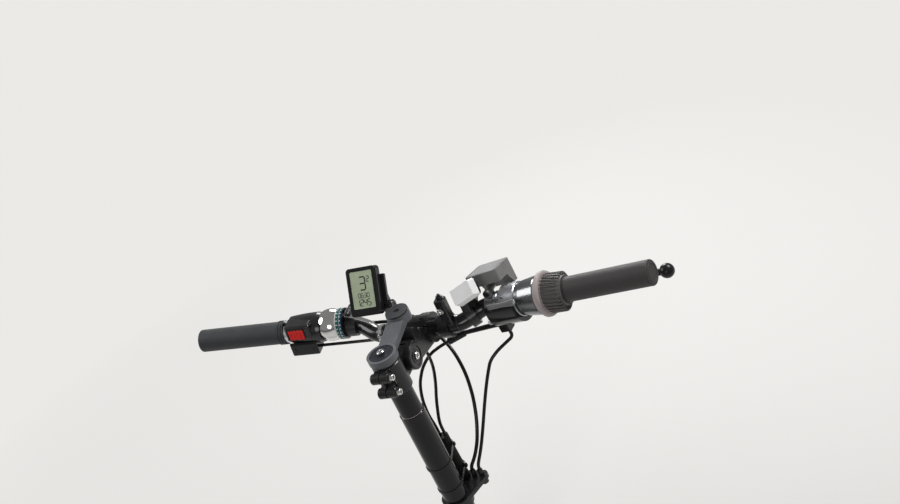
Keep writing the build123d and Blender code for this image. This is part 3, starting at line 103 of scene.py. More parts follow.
def remap(tree, value, low=0, high=1, to_low=0, to_high=1):
    """Adds a node that maps a value's range onto another, and returns its result."""
    bounds = {"From Min": low, "From Max": high, "To Min": to_low, "To Max": to_high}
    return add_node(tree, "ShaderNodeMapRange", {"Value": value, **bounds}).outputs[0]


floor_mesh = bpy.data.meshes.new("floor")
floor_level = cad_box[0][2]
floor_mesh.from_pydata(
    [
        (x * floor_half_width, y * floor_half_width, floor_level)
        for x, y in ((-1, -1), (1, -1), (1, 1), (-1, 1))
    ],
    [],
    [(0, 1, 2, 3)],
)
floor = bpy.data.objects.new("floor", floor_mesh)
bpy.context.scene.collection.objects.link(floor)
floor_paint = bpy.data.materials.new("floor_paint")
floor_paint.use_nodes = True
floor_tree = floor_paint.node_tree
floor_shader = floor_tree.nodes["Principled BSDF"]
floor_shader.inputs["Base Color"].default_value = floor_colour
floor_shader.inputs["Roughness"].default_value = floor_roughness
far_floor = add_node(floor_tree, "ShaderNodeEmission", {"Color": far_floor_colour})
floor_place = floor_tree.nodes.new("ShaderNodeTexCoord").outputs["Object"]
distance = add_node(floor_tree, "ShaderNodeVectorMath", {0: floor_place}, operation="LENGTH")
how_far = remap(floor_tree, distance.outputs["Value"], *floor_shade_reach)
seen_floor = floor_tree.nodes.new("ShaderNodeLightPath").outputs["Is Camera Ray"]
far_and_seen = compute(floor_tree, "MULTIPLY", how_far, seen_floor)
floor_mix = add_node(
    floor_tree,
    "ShaderNodeMixShader",
    {"Fac": far_and_seen, 1: floor_shader.outputs[0], 2: far_floor.outputs[0]},
)
floor_tree.links.new(floor_mix.outputs[0], floor_tree.nodes["Material Output"].inputs["Surface"])
floor_mesh.materials.append(floor_paint)

camera = bpy.data.objects.new("camera", bpy.data.cameras.new("camera"))
bpy.context.scene.collection.objects.link(camera)
camera.matrix_world = Matrix.Translation(camera_place) @ (
    Matrix((camera_right, camera_up, camera_back)).transposed().to_4x4()
)
camera.data.sensor_width = sensor_width
camera.data.lens = sensor_width * focal_pixels / picture_width
bpy.context.scene.camera = camera

for lamp_name, place, size, power in lamps:
    light = bpy.data.lights.new(lamp_name, "AREA")
    light.shape = "DISK"
    light.size = size
    light.energy = power
    lamp = bpy.data.objects.new(lamp_name, light)
    lamp.location = place
    lamp.rotation_euler = (lamp_target - Vector(place)).to_track_quat("-Z", "Y").to_euler()
    bpy.context.scene.collection.objects.link(lamp)

world = bpy.data.worlds.new("surround")
world.use_nodes = True
bpy.context.scene.world = world
sky = world.node_tree
background = sky.nodes["Background"]
background.inputs["Color"].default_value = surround_colour
rays = sky.nodes.new("ShaderNodeLightPath").outputs
reflected = compute(sky, "MULTIPLY", rays["Is Glossy Ray"], surround_in_reflections)
seen = compute(sky, "MAXIMUM", rays["Is Camera Ray"], reflected)
seen_or_through = compute(sky, "MAXIMUM", seen, rays["Is Transmission Ray"])
strength = remap(sky, seen_or_through, to_low=surround_light)
sky.links.new(strength, background.inputs["Strength"])
bpy.context.scene.view_settings.view_transform = "Standard"

# Head tube: the vehicle's own steel tube that the column turns in, welded and powder coated.
# The coat has a faint orange peel, and wears through to bare metal along its rims.
bare_steel = (0.42, 0.4, 0.38)
wear_radius = 0.0006
wear_samples = 6
wear_edge = (0.97, 0.8)
wear_patches = {"Scale": 160, "Detail": 4}
wear_patch_full = 0.75
smudge_scale = 45
smudge_noise = {"Detail": 5, "Roughness": 0.6}
scratch_scale = 90
scratch_noise = {"Detail": 2, "Distortion": 0.6}
scratch_run = {"Scale": (1, 14, 9), "Rotation": (0.4, 0.7, 0.5)}
scratch_cut = (0.66, 0.7)
scratch_tint = (0.6, 0.2)
dust_least_slope = 0.3
dust_colour = (0.33, 0.31, 0.28)
tone_shares = (0.8, 1.2)
tone_lift = 0.001
coat_rough = 0.1
least_rough = 0.03
grain_detail = 3


def node_group(name, kind, inputs, outputs):
    """New node tree with sockets named by kind: the tree, what it is given and what it returns."""
    tree = bpy.data.node_groups.new(name, kind)
    for in_out, sockets in (("INPUT", inputs), ("OUTPUT", outputs)):
        for socket_kind, names in sockets.items():
            for socket in names:
                socket_type = f"NodeSocket{socket_kind}"
                tree.interface.new_socket(socket, in_out=in_out, socket_type=socket_type)
    given = tree.nodes.new("NodeGroupInput").outputs
    result = tree.nodes.new("NodeGroupOutput").inputs
    return tree, given, result


def edge_wear_group():
    """Mask of the rims where a coat wears off: 1 on a worn edge, 0 elsewhere."""
    group, given, result = node_group(
        "edge_wear", "ShaderNodeTree", {"Float": ("Radius", "Patchiness")}, {"Float": ("Mask",)}
    )
    rounded = add_node(group, "ShaderNodeBevel", {"Radius": given["Radius"]}, samples=wear_samples)
    surface = group.nodes.new("ShaderNodeNewGeometry")
    normals = {0: rounded.outputs["Normal"], 1: surface.outputs["Normal"]}
    match = add_node(group, "ShaderNodeVectorMath", normals, operation="DOT_PRODUCT")
    place = group.nodes.new("ShaderNodeTexCoord").outputs["Object"]
    patches = add_node(group, "ShaderNodeTexNoise", {"Vector": place, **wear_patches})
    edge = remap(group, match.outputs["Value"], *wear_edge)
    chance = remap(group, patches.outputs["Fac"], given["Patchiness"], wear_patch_full)
    group.links.new(compute(group, "MULTIPLY", edge, chance), result["Mask"])
    return group


def surface_marks_group():
    """Handling marks and settled dust: soft smudges, fine scratches, and dust on what faces up."""
    group, given, result = node_group(
        "surface_marks",
        "ShaderNodeTree",
        {"Float": ("Smudge Scale", "Scratch Scale", "Dust")},
        {"Float": ("Smudge", "Scratch", "Dust")},
    )
    place = group.nodes.new("ShaderNodeTexCoord").outputs["Object"]
    smudge_inputs = {"Vector": place, "Scale": given["Smudge Scale"], **smudge_noise}
    smudge = add_node(group, "ShaderNodeTexNoise", smudge_inputs).outputs["Fac"]
    group.links.new(smudge, result["Smudge"])
    stretched = add_node(group, "ShaderNodeMapping", {"Vector": place, **scratch_run}).outputs[0]
    streak_inputs = {"Vector": stretched, "Scale": given["Scratch Scale"], **scratch_noise}
    streak = add_node(group, "ShaderNodeTexNoise", streak_inputs).outputs["Fac"]
    group.links.new(remap(group, streak, *scratch_cut), result["Scratch"])
    surface = group.nodes.new("ShaderNodeNewGeometry")
    upward = add_node(group, "ShaderNodeSeparateXYZ", {0: surface.outputs["Normal"]}).outputs["Z"]
    settled = compute(group, "MULTIPLY", remap(group, upward, dust_least_slope), smudge)
    group.links.new(compute(group, "MULTIPLY", settled, given["Dust"]), result["Dust"])
    return group


edge_wear = edge_wear_group()
surface_marks = surface_marks_group()


def finish(
    name,
    colour,
    rough,
    grain_scale,
    grain,
    grain_kind="noise",
    metal=0.0,
    specular=0.25,
    worn_colour=None,
    patchiness=0.35,
    rough_spread=0.1,
    dust=0.03,
    scratches=0.06,
    coat=0.0,
):
    """Material of one finish: its tone varies, its rims wear, and its grain is a bump in mm."""
    material = bpy.data.materials.new(name)
    material.use_nodes = True
    tree = material.node_tree
    shader = tree.nodes["Principled BSDF"].inputs
    shader["Metallic"].default_value = metal
    shader["Specular IOR Level"].default_value = specular
    shader["Coat Weight"].default_value = coat
    shader["Coat Roughness"].default_value = coat_rough
    marks_inputs = {"Smudge Scale": smudge_scale, "Scratch Scale": scratch_scale, "Dust": dust}
    marks = add_node(tree, "ShaderNodeGroup", marks_inputs, node_tree=surface_marks).outputs

    def mix(under, over, mask, node_name="layer"):
        """Colour over another where a mask is 1."""
        colours = {"A": under, "B": (*over, 1), "Factor": mask}
        mixed = add_node(tree, "ShaderNodeMix", colours, data_type="RGBA", name=node_name)
        return mixed.outputs["Result"]

    dark, light = tone_shares
    lighter = [min(1, c * light + tone_lift) for c in colour]
    base = mix((*[c * dark for c in colour], 1), lighter, marks["Smudge"], "tone")
    share, paleness = scratch_tint
    scratched = [min(1, c * share + paleness) for c in colour]
    base = mix(base, scratched, compute(tree, "MULTIPLY", marks["Scratch"], scratches))
    if worn_colour:
        wear_inputs = {"Radius": wear_radius, "Patchiness": patchiness}
        wear = add_node(tree, "ShaderNodeGroup", wear_inputs, node_tree=edge_wear)
        base = mix(base, worn_colour, wear.outputs["Mask"])
    tree.links.new(mix(base, dust_colour, marks["Dust"]), shader["Base Color"])
    smoothest, roughest = max(least_rough, rough - rough_spread), min(1, rough + rough_spread)
    gloss = remap(tree, marks["Smudge"], to_low=smoothest, to_high=roughest)
    tree.links.new(gloss, shader["Roughness"])
    place = tree.nodes.new("ShaderNodeTexCoord").outputs["Object"]
    grains = {"Vector": place, "Scale": grain_scale}
    if grain_kind == "noise":
        noise = add_node(tree, "ShaderNodeTexNoise", {"Detail": grain_detail, **grains})
        height = noise.outputs["Fac"]
    else:
        cells = add_node(tree, "ShaderNodeTexVoronoi", grains, feature="SMOOTH_F1")
        height = cells.outputs["Distance"]
    relief = {"Strength": 1, "Distance": grain / 1000, "Height": height}
    tree.links.new(add_node(tree, "ShaderNodeBump", relief).outputs["Normal"], shader["Normal"])
    return material


def dress(material, *names):
    """Gives CAD nodes this material in place of their own."""
    for name in names:
        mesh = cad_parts[name].data
        mesh.materials.clear()
        mesh.materials.append(material)


frame_coat = finish(
    "frame_coat", (0.02, 0.021, 0.023), 0.28, worn_colour=bare_steel, grain_scale=420,
    grain=0.03, coat=0.1,
)
dress(frame_coat, "head_tube")

# Headset: black anodised alloy cups and cover, and a bright steel crown race between them.
# The cups are pressed into the head tube, and their turned rims are worn bright.
anodised_black = finish(
    "anodised_black", (0.012, 0.012, 0.014), 0.34, worn_colour=(0.4, 0.4, 0.41),
    grain_scale=2600, grain=0.015,
)
turned_steel = finish(
    "turned_steel", (0.55, 0.54, 0.52), 0.28, metal=1.0, grain_scale=900, grain=0.01
)
dress(anodised_black, "upper_cup", "lower_cup", "headset_cover")
dress(turned_steel, "crown_race")

# Steering column: a thick lower tube and a thinner upper one, black painted steel. The paint is
# smooth and shiny, and a thin steel ring shows bright at the joint where the two tubes meet.
column_axis = (0, 0)
joint_ring_height = 0.0004
joint_ring_proud = 0.0005
column_paint = finish(
    "column_paint", (0.005, 0.005, 0.006), 0.13, specular=0.28, worn_colour=(0.3, 0.29, 0.27),
    grain_scale=300, grain=0.012, dust=0.01,
)
dress(column_paint, "lower_column", "upper_column")


def seat(origin, out, across=(0, 0, 1)):
    """Frame at a point on a surface: z points out of it, and x lies near the direction across."""
    z = Vector(out).normalized()
    y = z.cross(Vector(across)).normalized()
    return Matrix.Translation(origin) @ Matrix((y.cross(z), y, z)).transposed().to_4x4()


def upright(x, y, z):
    """Frame that stands at a point, with its z up."""
    return seat((x, y, z), (0, 0, 1), (1, 0, 0))


def skin(bm, loops, closed=False, capped=False):
    """Adds the faces between neighbouring loops of points, where one point alone is a pole."""
    pairs = list(zip(loops, loops[1:]))
    if closed:
        pairs.append((loops[-1], loops[0]))
    for lower, upper in pairs:
        steps = max(len(lower), len(upper))
        for here in range(steps):
            after = (here + 1) % steps
            low = [lower[step % len(lower)] for step in (here, after)]
            high = [upper[step % len(upper)] for step in (after, here)]
            bm.faces.new(list(dict.fromkeys(low + high)))
    if capped:
        bm.faces.new(loops[0])
        bm.faces.new(loops[-1])


def lathe(bm, place, rings, closed=False, steps=48):
    """Adds a turned solid round z from rings of (radius, height), or (radius, height, sides)."""
    loops = []
    for radius, height, *sides in rings:
        loop = []
        for step in range(steps if radius else 1):
            angle = math.tau * step / steps
            reach = radius
            if sides:
                half_side = math.pi / sides[0]
                reach = radius / math.cos(angle % (2 * half_side) - half_side)
            point = Vector((reach * math.cos(angle), reach * math.sin(angle), height))
            loop.append(bm.verts.new(place @ point))
        loops.append(loop)
    skin(bm, loops, closed)


def ride_steering(made, smooth_below):
    """Smooths a piece except at its sharp edges, and fixes it to the steering."""
    made.data.shade_smooth()
    made.data.set_sharp_from_angle(angle=math.radians(smooth_below))
    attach(made, "steering")


def piece(name, bm, material, smooth_below=35, replaced=()):
    """Turns a bmesh into a finished piece on the steering."""
    bmesh.ops.recalc_face_normals(bm, faces=bm.faces)
    mesh = bpy.data.meshes.new(name)
    bm.to_mesh(mesh)
    bm.free()
    mesh.materials.append(material)
    made = bpy.data.objects.new(name, mesh)
    bpy.context.scene.collection.objects.link(made)
    ride_steering(made, smooth_below)
    if replaced:
        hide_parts(*replaced)


def turned_piece(name, material, places, rings, closed=False, steps=48, replaced=()):
    """One piece of equal turned solids, one at each place."""
    bm = bmesh.new()
    for place in places:
        lathe(bm, place, rings, closed, steps)
    piece(name, bm, material, replaced=replaced)


def flat_ring(inner, outer, height):
    """Rings of a flat washer."""
    return [(inner, 0), (outer, 0), (outer, height), (inner, height)]


column_low, column_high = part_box("upper_column")
upper_radius = (column_high[0] - column_low[0]) / 2
turned_piece(
    "column_joint_ring",
    turned_steel,
    [upright(*column_axis, column_low[2])],
    flat_ring(upper_radius, upper_radius + joint_ring_proud, joint_ring_height),
    closed=True,
    steps=96,
)

# Stem: cast alloy, painted black, with the angled top arm in grey. The arm's grey is painted
# sheen:
# the black paint lightened to stand in for the sky's reflection on its top. Steel cap screws with
# hex sockets pinch the steerer and the bar and hold the toothed angle pivot.
hex_sides = 6
screw_edge = 0.07
key_mouth = 0.64
key_floor = (0.3, 0.2)
pinch_screw_back = -0.0245
pinch_screw_heights = (0.3446, 0.3214)
pinch_head = (0.0085, 0.005, 0.0045)
pinch_head_seat = 0.013
pinch_shank = 0.005
pivot_place = (0.0342, 0.3292)
pivot_face_half = 0.0214
pivot_head = (0.01, 0.003, 0.005)
pivot_shank = 0.008
washer_radii = (0.0053, 0.0095)
washer_thickness = 0.0007
clamp_slope = math.radians(50)
bar_centre = Vector((0, 0.1015, 0.322))
clamp_screw_half_spacing = 0.014
clamp_screw_reach = 0.0195
clamp_screw_seat = 0.008
clamp_head = (0.0075, 0.0042, 0.004)
clamp_shank = 0.005
rear_head = (0.0098, 0.0024, 0.0044)
front_head = (0.0072, 0.0011, 0.0038)
front_cap_centre = (0, 0.0716)
front_socket_floor = 0.3745
stem_paint = finish(
    "stem_paint", (0.011, 0.011, 0.012), 0.3, specular=0.38, worn_colour=(0.22, 0.21, 0.2),
    grain_scale=1700, grain=0.03,
)
# The arm's paint is a lighter copy of the stem's black, a painted sheen for the sky's reflection
# on its top; its worn rims are wear.
arm_paint_and_sheen = finish(
    "arm_paint_and_sheen", (0.105, 0.109, 0.117), 0.36, worn_colour=(0.2, 0.21, 0.23), patchiness=0.2,
    grain_scale=1700, grain=0.03,
)
dress(stem_paint, "steerer_clamp", "stem_extension", "bar_clamp_cap")
dress(arm_paint_and_sheen, "brace_arm")
# The pale blue that the edge wear mask lays on the cap cloth's rims is a painted highlight along
# the cap's edge.
cap_cloth = finish(
    "cap_cloth", (0.01, 0.012, 0.02), 0.38, worn_colour=(0.12, 0.15, 0.22), grain_scale=900,
    grain=0.14, grain_kind="cells",
)
cap_steel = finish(
    "cap_steel", (0.03, 0.031, 0.036), 0.3, worn_colour=(0.1, 0.1, 0.11), grain_scale=1500,
    grain=0.02,
)
bolt_steel = finish(
    "bolt_steel", (0.68, 0.68, 0.67), 0.2, metal=1.0, grain_scale=1200, grain=0.012,
    scratches=0.2,
)
black_steel = finish(
    "black_steel", (0.02, 0.02, 0.021), 0.3, metal=0.6, worn_colour=(0.4, 0.4, 0.4),
    grain_scale=1500, grain=0.015,
)
dress(cap_cloth, "rear_cap")
dress(cap_steel, "front_cap")


def screw_rings(head, shank=0.0, length=0.0):
    """Rings of a cap screw with a hex socket: head holds its diameter, height and key size."""
    diameter, height, key = head
    edge = diameter * screw_edge
    flat, point = key_floor
    return [
        *([(0, -length), (shank / 2, -length), (shank / 2, 0)] if length else [(0, 0)]),
        (diameter / 2 - edge, 0),
        (diameter / 2, edge),
        (diameter / 2, height - edge),
        (diameter / 2 - edge, height),
        (key * key_mouth, height),
        (key / 2, height - edge, hex_sides),
        (key / 2, height * flat, hex_sides),
        (0, height * point),
    ]


pinch_rings = screw_rings(pinch_head, pinch_shank, 2 * pinch_head_seat)
pinch_seats = [
    seat((pinch_head_seat, pinch_screw_back, z), (1, 0, 0)) for z in pinch_screw_heights
]
pivot_rings = screw_rings(pivot_head, pivot_shank, pivot_face_half)
pivot_seats = [seat((side * pivot_face_half, *pivot_place), (side, 0, 0)) for side in (-1, 1)]
for name, seats, rings, bolt in (
    ("pinch_screws", pinch_seats, pinch_rings, "pinch_bolts"),
    ("pivot_screws", pivot_seats, pivot_rings, "pivot_bolt"),
):
    turned_piece(name, bolt_steel, seats, rings, replaced=(bolt,))
washer_rings = flat_ring(*washer_radii, washer_thickness)
turned_piece("pivot_washers", black_steel, pivot_seats, washer_rings, closed=True)

clamp_out = Vector((0, math.cos(clamp_slope), math.sin(clamp_slope)))
clamp_across = Vector((0, -math.sin(clamp_slope), math.cos(clamp_slope)))
clamp_seats = []
for side in (-1, 1):
    for end in (-1, 1):
        foot = bar_centre + clamp_across * end * clamp_screw_reach + clamp_out * clamp_screw_seat
        foot.x = side * clamp_screw_half_spacing
        clamp_seats.append(seat(foot, clamp_out, (1, 0, 0)))
clamp_rings = screw_rings(clamp_head, clamp_shank, clamp_screw_seat)
turned_piece("bar_clamp_screws", black_steel, clamp_seats, clamp_rings)
rear_seat = upright(0, 0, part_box("rear_cap")[1][2])
turned_piece("rear_cap_screw", bolt_steel, [rear_seat], screw_rings(rear_head))
front_seat = upright(*front_cap_centre, front_socket_floor)
turned_piece("front_cap_screw", black_steel, [front_seat], screw_rings(front_head))

# Handlebar: a drawn aluminium tube, black anodised, glossy round the clamp. A polished steel band
# with a small screw holds its wires against it, left of the stem.
grip_corner = Vector((0.0953, 0.1198, 0.3303))
grip_sweep = math.radians(7.1)
grip_lift = math.radians(7.7)
band_from_middle = 0.0512
band_width = 0.0065
band_edge = 0.0004
band_radii = (0.01275, 0.0136)
band_screw_out = (0, -0.86, 0.5)
band_screw = (0.0052, 0.003, 0.0026)
bar_finish = finish(
    "bar_finish", (0.008, 0.008, 0.01), 0.16, worn_colour=(0.35, 0.35, 0.36), grain_scale=2200,
    grain=0.008, coat=0.15,
)
dress(bar_finish, "handlebar")


def on_grip(side, outward, forward=0.0, up=0.0):
    """Frame on the grip part of the bar: z along it to the rider's right, x forward and y up."""
    level = math.cos(grip_lift)
    swept, straight = math.sin(grip_sweep), math.cos(grip_sweep)
    right = Vector((straight * level, -side * swept * level, side * math.sin(grip_lift)))
    ahead = Vector((side * swept, straight, 0))
    raised = right.cross(ahead)
    corner = Vector((side * grip_corner.x, grip_corner.y, grip_corner.z))
    origin = corner + right * side * outward + ahead * forward + raised * up
    return Matrix.Translation(origin) @ Matrix((ahead, raised, right)).transposed().to_4x4()


wire_band = bmesh.new()
band_start = bar_centre - Vector((band_from_middle + band_width, 0, 0))
inner, outer = band_radii
band_rings = [(inner, 0), (outer, band_edge), (outer, band_width - band_edge), (inner, band_width)]
lathe(wire_band, seat(band_start, (1, 0, 0)), band_rings, closed=True, steps=72)
band_middle = -band_from_middle - band_width / 2
screw_foot = Vector((band_middle, outer * band_screw_out[1], outer * band_screw_out[2]))
screw_seat = seat(bar_centre + screw_foot, band_screw_out, (1, 0, 0))
lathe(wire_band, screw_seat, screw_rings(band_screw))
piece("wire_band", wire_band, bolt_steel)

# Grips: moulded rubber sleeves, blue-black on the left, dark grey on the right, pushed onto the
# bar. Their closed ends have a moulded ring, and a steel collar clamps the left one.
grip_end = 0.2443
end_ring_radii = (0.0102, 0.0116)
end_ring_height = 0.0005
collar_screw_place = (0.108, -0.0048, 0.0182)
collar_screw = (0.0058, 0.003, 0.003)
grip_rubber = finish(
    "grip_rubber", (0.03, 0.032, 0.035), 0.56, specular=0.35, grain_scale=1100, grain=0.1
)
grey_rubber = finish(
    "grey_rubber", (0.035, 0.032, 0.032), 0.6, specular=0.35, grain_scale=1100, grain=0.1
)
dress(grip_rubber, "left_grip")
dress(grey_rubber, "right_grip")
collar_metal = finish(
    "collar_metal", (0.72, 0.73, 0.74), 0.32, metal=0.9, grain_scale=900, grain=0.02,
    scratches=0.15,
)
dress(collar_metal, "left_collar")
for side, side_name, rubber in ((-1, "left", grip_rubber), (1, "right", grey_rubber)):
    inner, outer = end_ring_radii
    turned_piece(
        f"{side_name}_grip_end_ring",
        rubber,
        [on_grip(side, grip_end) @ Matrix.Diagonal((1, 1, side, 1))],
        [
            (inner, 0),
            (inner + end_ring_height, end_ring_height),
            (outer, end_ring_height),
            (outer + end_ring_height, 0),
        ],
        closed=True,
    )
collar_frame = on_grip(-1, *collar_screw_place)
collar_seat = seat(collar_frame.to_translation(), -collar_frame.col[0].to_3d(), (1, 0, 0))
collar_rings = screw_rings(collar_screw)
turned_piece("left_collar_screw", black_steel, [collar_seat], collar_rings)

# Switch: a moulded housing clamped on the bar, a red rocker and a glossy pod below. A thin raised
# frame guards the rocker, and the housing's halves are screwed together from the rider's side.
rocker_frame_place = (0.0865, -0.024, 0.011)
rocker_frame_size = (0.0252, 0.0182)
rocker_frame_opening = (0.0226, 0.0156)
rocker_frame_height = 0.0014
rocker_frame_corner = 0.0016
pod_screw_places = ((0.07, -0.0218, -0.017), (0.098, -0.0218, -0.017))
pod_screw = (0.0044, 0.0008, 0.0018)
housing_plastic = finish(
    "housing_plastic", (0.009, 0.009, 0.01), 0.24, specular=0.5, worn_colour=(0.1, 0.1, 0.1),
    grain_scale=2400, grain=0.04,
)
gloss_plastic = finish(
    "gloss_plastic", (0.005, 0.005, 0.006), 0.1, grain_scale=600, grain=0.008, coat=0.2
)
red_plastic = finish(
    "red_plastic", (0.64, 0.012, 0.012), 0.32, worn_colour=(0.75, 0.2, 0.16), grain_scale=1800,
    grain=0.03,
)
dress(housing_plastic, "switch_housing")
dress(gloss_plastic, "switch_pod")
dress(red_plastic, "rocker")


def rounded_outline(width, height, corner, steps=6):
    """Points of a rounded rectangle, counterclockwise."""
    points = []
    for quarter, (sign_x, sign_y) in enumerate(((1, 1), (-1, 1), (-1, -1), (1, -1))):
        for step in range(steps + 1):
            angle = math.pi / 2 * (quarter + step / steps)
            x = sign_x * (width / 2 - corner) + corner * math.cos(angle)
            y = sign_y * (height / 2 - corner) + corner * math.sin(angle)
            points.append(Vector((x, y, 0)))
    return points


def facing_rider(side, outward, forward, up):
    """Frame on the rider's side of a control: z to the rider, x along the bar, y up."""
    grip = on_grip(side, outward, forward, up)
    ahead, raised, right = (grip.col[axis].to_3d() for axis in range(3))
    turn = Matrix((right, raised, -ahead)).transposed().to_4x4()
    return Matrix.Translation(grip.to_translation()) @ turn


rocker_frame = bmesh.new()
frame_place = facing_rider(-1, *rocker_frame_place)
frame_width = (rocker_frame_size[0] - rocker_frame_opening[0]) / 2
outside = rounded_outline(*rocker_frame_size, rocker_frame_corner + frame_width)
inside = rounded_outline(*rocker_frame_opening, rocker_frame_corner)
loops = [
    [rocker_frame.verts.new(frame_place @ (point + Vector((0, 0, rise)))) for point in outline]
    for outline, rise in zip(
        (outside, outside, inside, inside), (0, rocker_frame_height, rocker_frame_height, 0)
    )
]
skin(rocker_frame, loops, closed=True)
piece("rocker_frame", rocker_frame, gloss_plastic)
pod_seats = [facing_rider(-1, *place) for place in pod_screw_places]
turned_piece("pod_screws", black_steel, pod_seats, screw_rings(pod_screw))

# Bell: a chromed dome ring, and a striker ring next to it, painted in bands and riveted with
# pale studs. Turning the ring by its chromed thumb lever rings the bell.
bell_rise = 0.005
ring_inner_face = 0.0187
stud_rows = ((0.0266, 0.0026), (0.0218, 0.0018))
stud_sizes = {"count": 24, "radius": 0.0215, "width": 0.0016, "height": 0.0008}
bell_bands = (
    (0.0, (0.62, 0.62, 0.6)),
    (0.13, (0.005, 0.13, 0.115)),
    (0.48, (0.004, 0.004, 0.005)),
    (0.56, (0.55, 0.55, 0.54)),
    (0.61, (0.006, 0.075, 0.14)),
    (0.86, (0.004, 0.004, 0.005)),
)
bell_ring_width = 0.011
lever_root = (0.0195, -0.003, 0.0165)
lever_tip = Vector((-0.0655, 0.1055, 0.3395))
lever_thickness = 0.0016
lever_widths = (0.0075, 0.0055)
lever_steps = 16
lever_bow = 0.002
lever_round_from = 0.85
lever_round_least = 0.02
lever_half_section = ((-1, -0.4), (-0.85, -1), (0.85, -1), (1, -0.4))
rib_sides = 8
chrome = finish(
    "chrome", (0.72, 0.71, 0.7), 0.06, metal=1.0, rough_spread=0.05, grain_scale=90, grain=0.14,
    scratches=0.1,
)
stud_enamel = finish("stud_enamel", (0.5, 0.56, 0.53), 0.3, grain_scale=900, grain=0.01)
band_enamel = finish(
    "band_enamel", (0.01, 0.08, 0.09), 0.2, metal=0.2, grain_scale=900, grain=0.01, coat=0.4
)
dress(chrome, "bell_body")
dress(band_enamel, "bell_ring")
bell_axis = on_grip(-1, ring_inner_face + bell_ring_width, 0, bell_rise)


def paint_bands(material, place, width, bands):
    """Paints bands across the axis of a piece, over its finish's own tone."""
    tree = material.node_tree
    own = place.inverted()
    coordinates = tree.nodes.new("ShaderNodeTexCoord").outputs["Object"]
    turned = {"Vector": coordinates, "Location": own.to_translation(), "Rotation": own.to_euler()}
    mapping = add_node(tree, "ShaderNodeMapping", turned)
    along = add_node(tree, "ShaderNodeSeparateXYZ", {0: mapping.outputs["Vector"]}).outputs["Z"]
    ramp = add_node(tree, "ShaderNodeValToRGB", {"Fac": remap(tree, along, high=width)})
    stops = ramp.color_ramp.elements
    ramp.color_ramp.interpolation = "CONSTANT"
    for number, (start, colour) in enumerate(bands):
        stop = stops[0] if number == 0 else stops.new(start)
        stop.position = start
        stop.color = (*colour, 1)
    stops.remove(stops[-1])
    for side in ("A", "B"):
        tree.links.new(ramp.outputs["Color"], tree.nodes["tone"].inputs[side])


paint_bands(band_enamel, bell_axis, bell_ring_width, bell_bands)


def one_mesh(tree, points, instance, given, result, **turn_and_size):
    """Ends a node tree: sets copies on its points, as one mesh of the given finish."""
    copies = {"Points": points, "Instance": instance, **turn_and_size}
    placed = add_node(tree, "GeometryNodeInstanceOnPoints", copies)
    real = add_node(tree, "GeometryNodeRealizeInstances", {0: placed.outputs[0]})
    look = {"Geometry": real.outputs[0], "Material": given["Finish"]}
    dressed = add_node(tree, "GeometryNodeSetMaterial", look)
    tree.links.new(dressed.outputs[0], result["Geometry"])
    return tree


def ring_of_ribs_tree():
    """Nodes that set small ribs round an axis, each leaning with a cone, as one mesh."""
    floats = ("Radius", "Length", "Width", "Height", "Lean", "Start")
    tree, given, result = node_group(
        "ring_of_ribs",
        "GeometryNodeTree",
        {"Int": ("Count",), "Float": floats, "Material": ("Finish",)},
        {"Geometry": ("Geometry",)},
    )
    circle_inputs = {"Vertices": given["Count"], "Radius": given["Radius"]}
    circle = add_node(tree, "GeometryNodeMeshCircle", circle_inputs)
    first = add_node(tree, "ShaderNodeCombineXYZ", {"Z": given["Start"]})
    turned = {"Geometry": circle.outputs["Mesh"], "Rotation": first.outputs[0]}
    points = add_node(tree, "GeometryNodeTransform", turned).outputs[0]
    unit_rib = {"Vertices": rib_sides, "Radius": 0.5, "Depth": 1}
    rib = add_node(tree, "GeometryNodeMeshCylinder", unit_rib).outputs["Mesh"]
    number = tree.nodes.new("GeometryNodeInputIndex").outputs[0]
    share = compute(tree, "DIVIDE", number, given["Count"])
    angle = compute(tree, "MULTIPLY_ADD", share, math.tau, given["Start"])
    turn = add_node(tree, "ShaderNodeCombineXYZ", {"Y": given["Lean"], "Z": angle}).outputs[0]
    sides = {"X": given["Height"], "Y": given["Width"], "Z": given["Length"]}
    size = add_node(tree, "ShaderNodeCombineXYZ", sides).outputs[0]
    return one_mesh(tree, points, rib, given, result, Rotation=turn, Scale=size)


ring_of_ribs = ring_of_ribs_tree()


def grown_piece(name, tree, place, slot, **sizes):
    """Runs a node tree with these sizes, or 0, and keeps its mesh as a piece on the steering."""
    made = bpy.data.objects.new(name, bpy.data.meshes.new(name))
    bpy.context.scene.collection.objects.link(made)
    modifier = made.modifiers.new(tree.name, "NODES")
    modifier.node_group = tree
    for socket in tree.interface.items_tree:
        if socket.in_out == "INPUT":
            modifier[socket.identifier] = sizes.get(socket.name.lower(), 0.0)
    evaluated = made.evaluated_get(bpy.context.evaluated_depsgraph_get())
    mesh = bpy.data.meshes.new_from_object(evaluated)
    made.modifiers.clear()
    mesh.transform(place)
    mesh.name = name
    made.data = mesh
    ride_steering(made, smooth_below=50)


for row, (row_out, stud_length) in enumerate(stud_rows):
    grown_piece(
        f"bell_stud_row_{row + 1}",
        ring_of_ribs,
        on_grip(-1, row_out, 0, bell_rise),
        "bell_band",
        length=stud_length,
        finish=stud_enamel,
        **stud_sizes,
    )

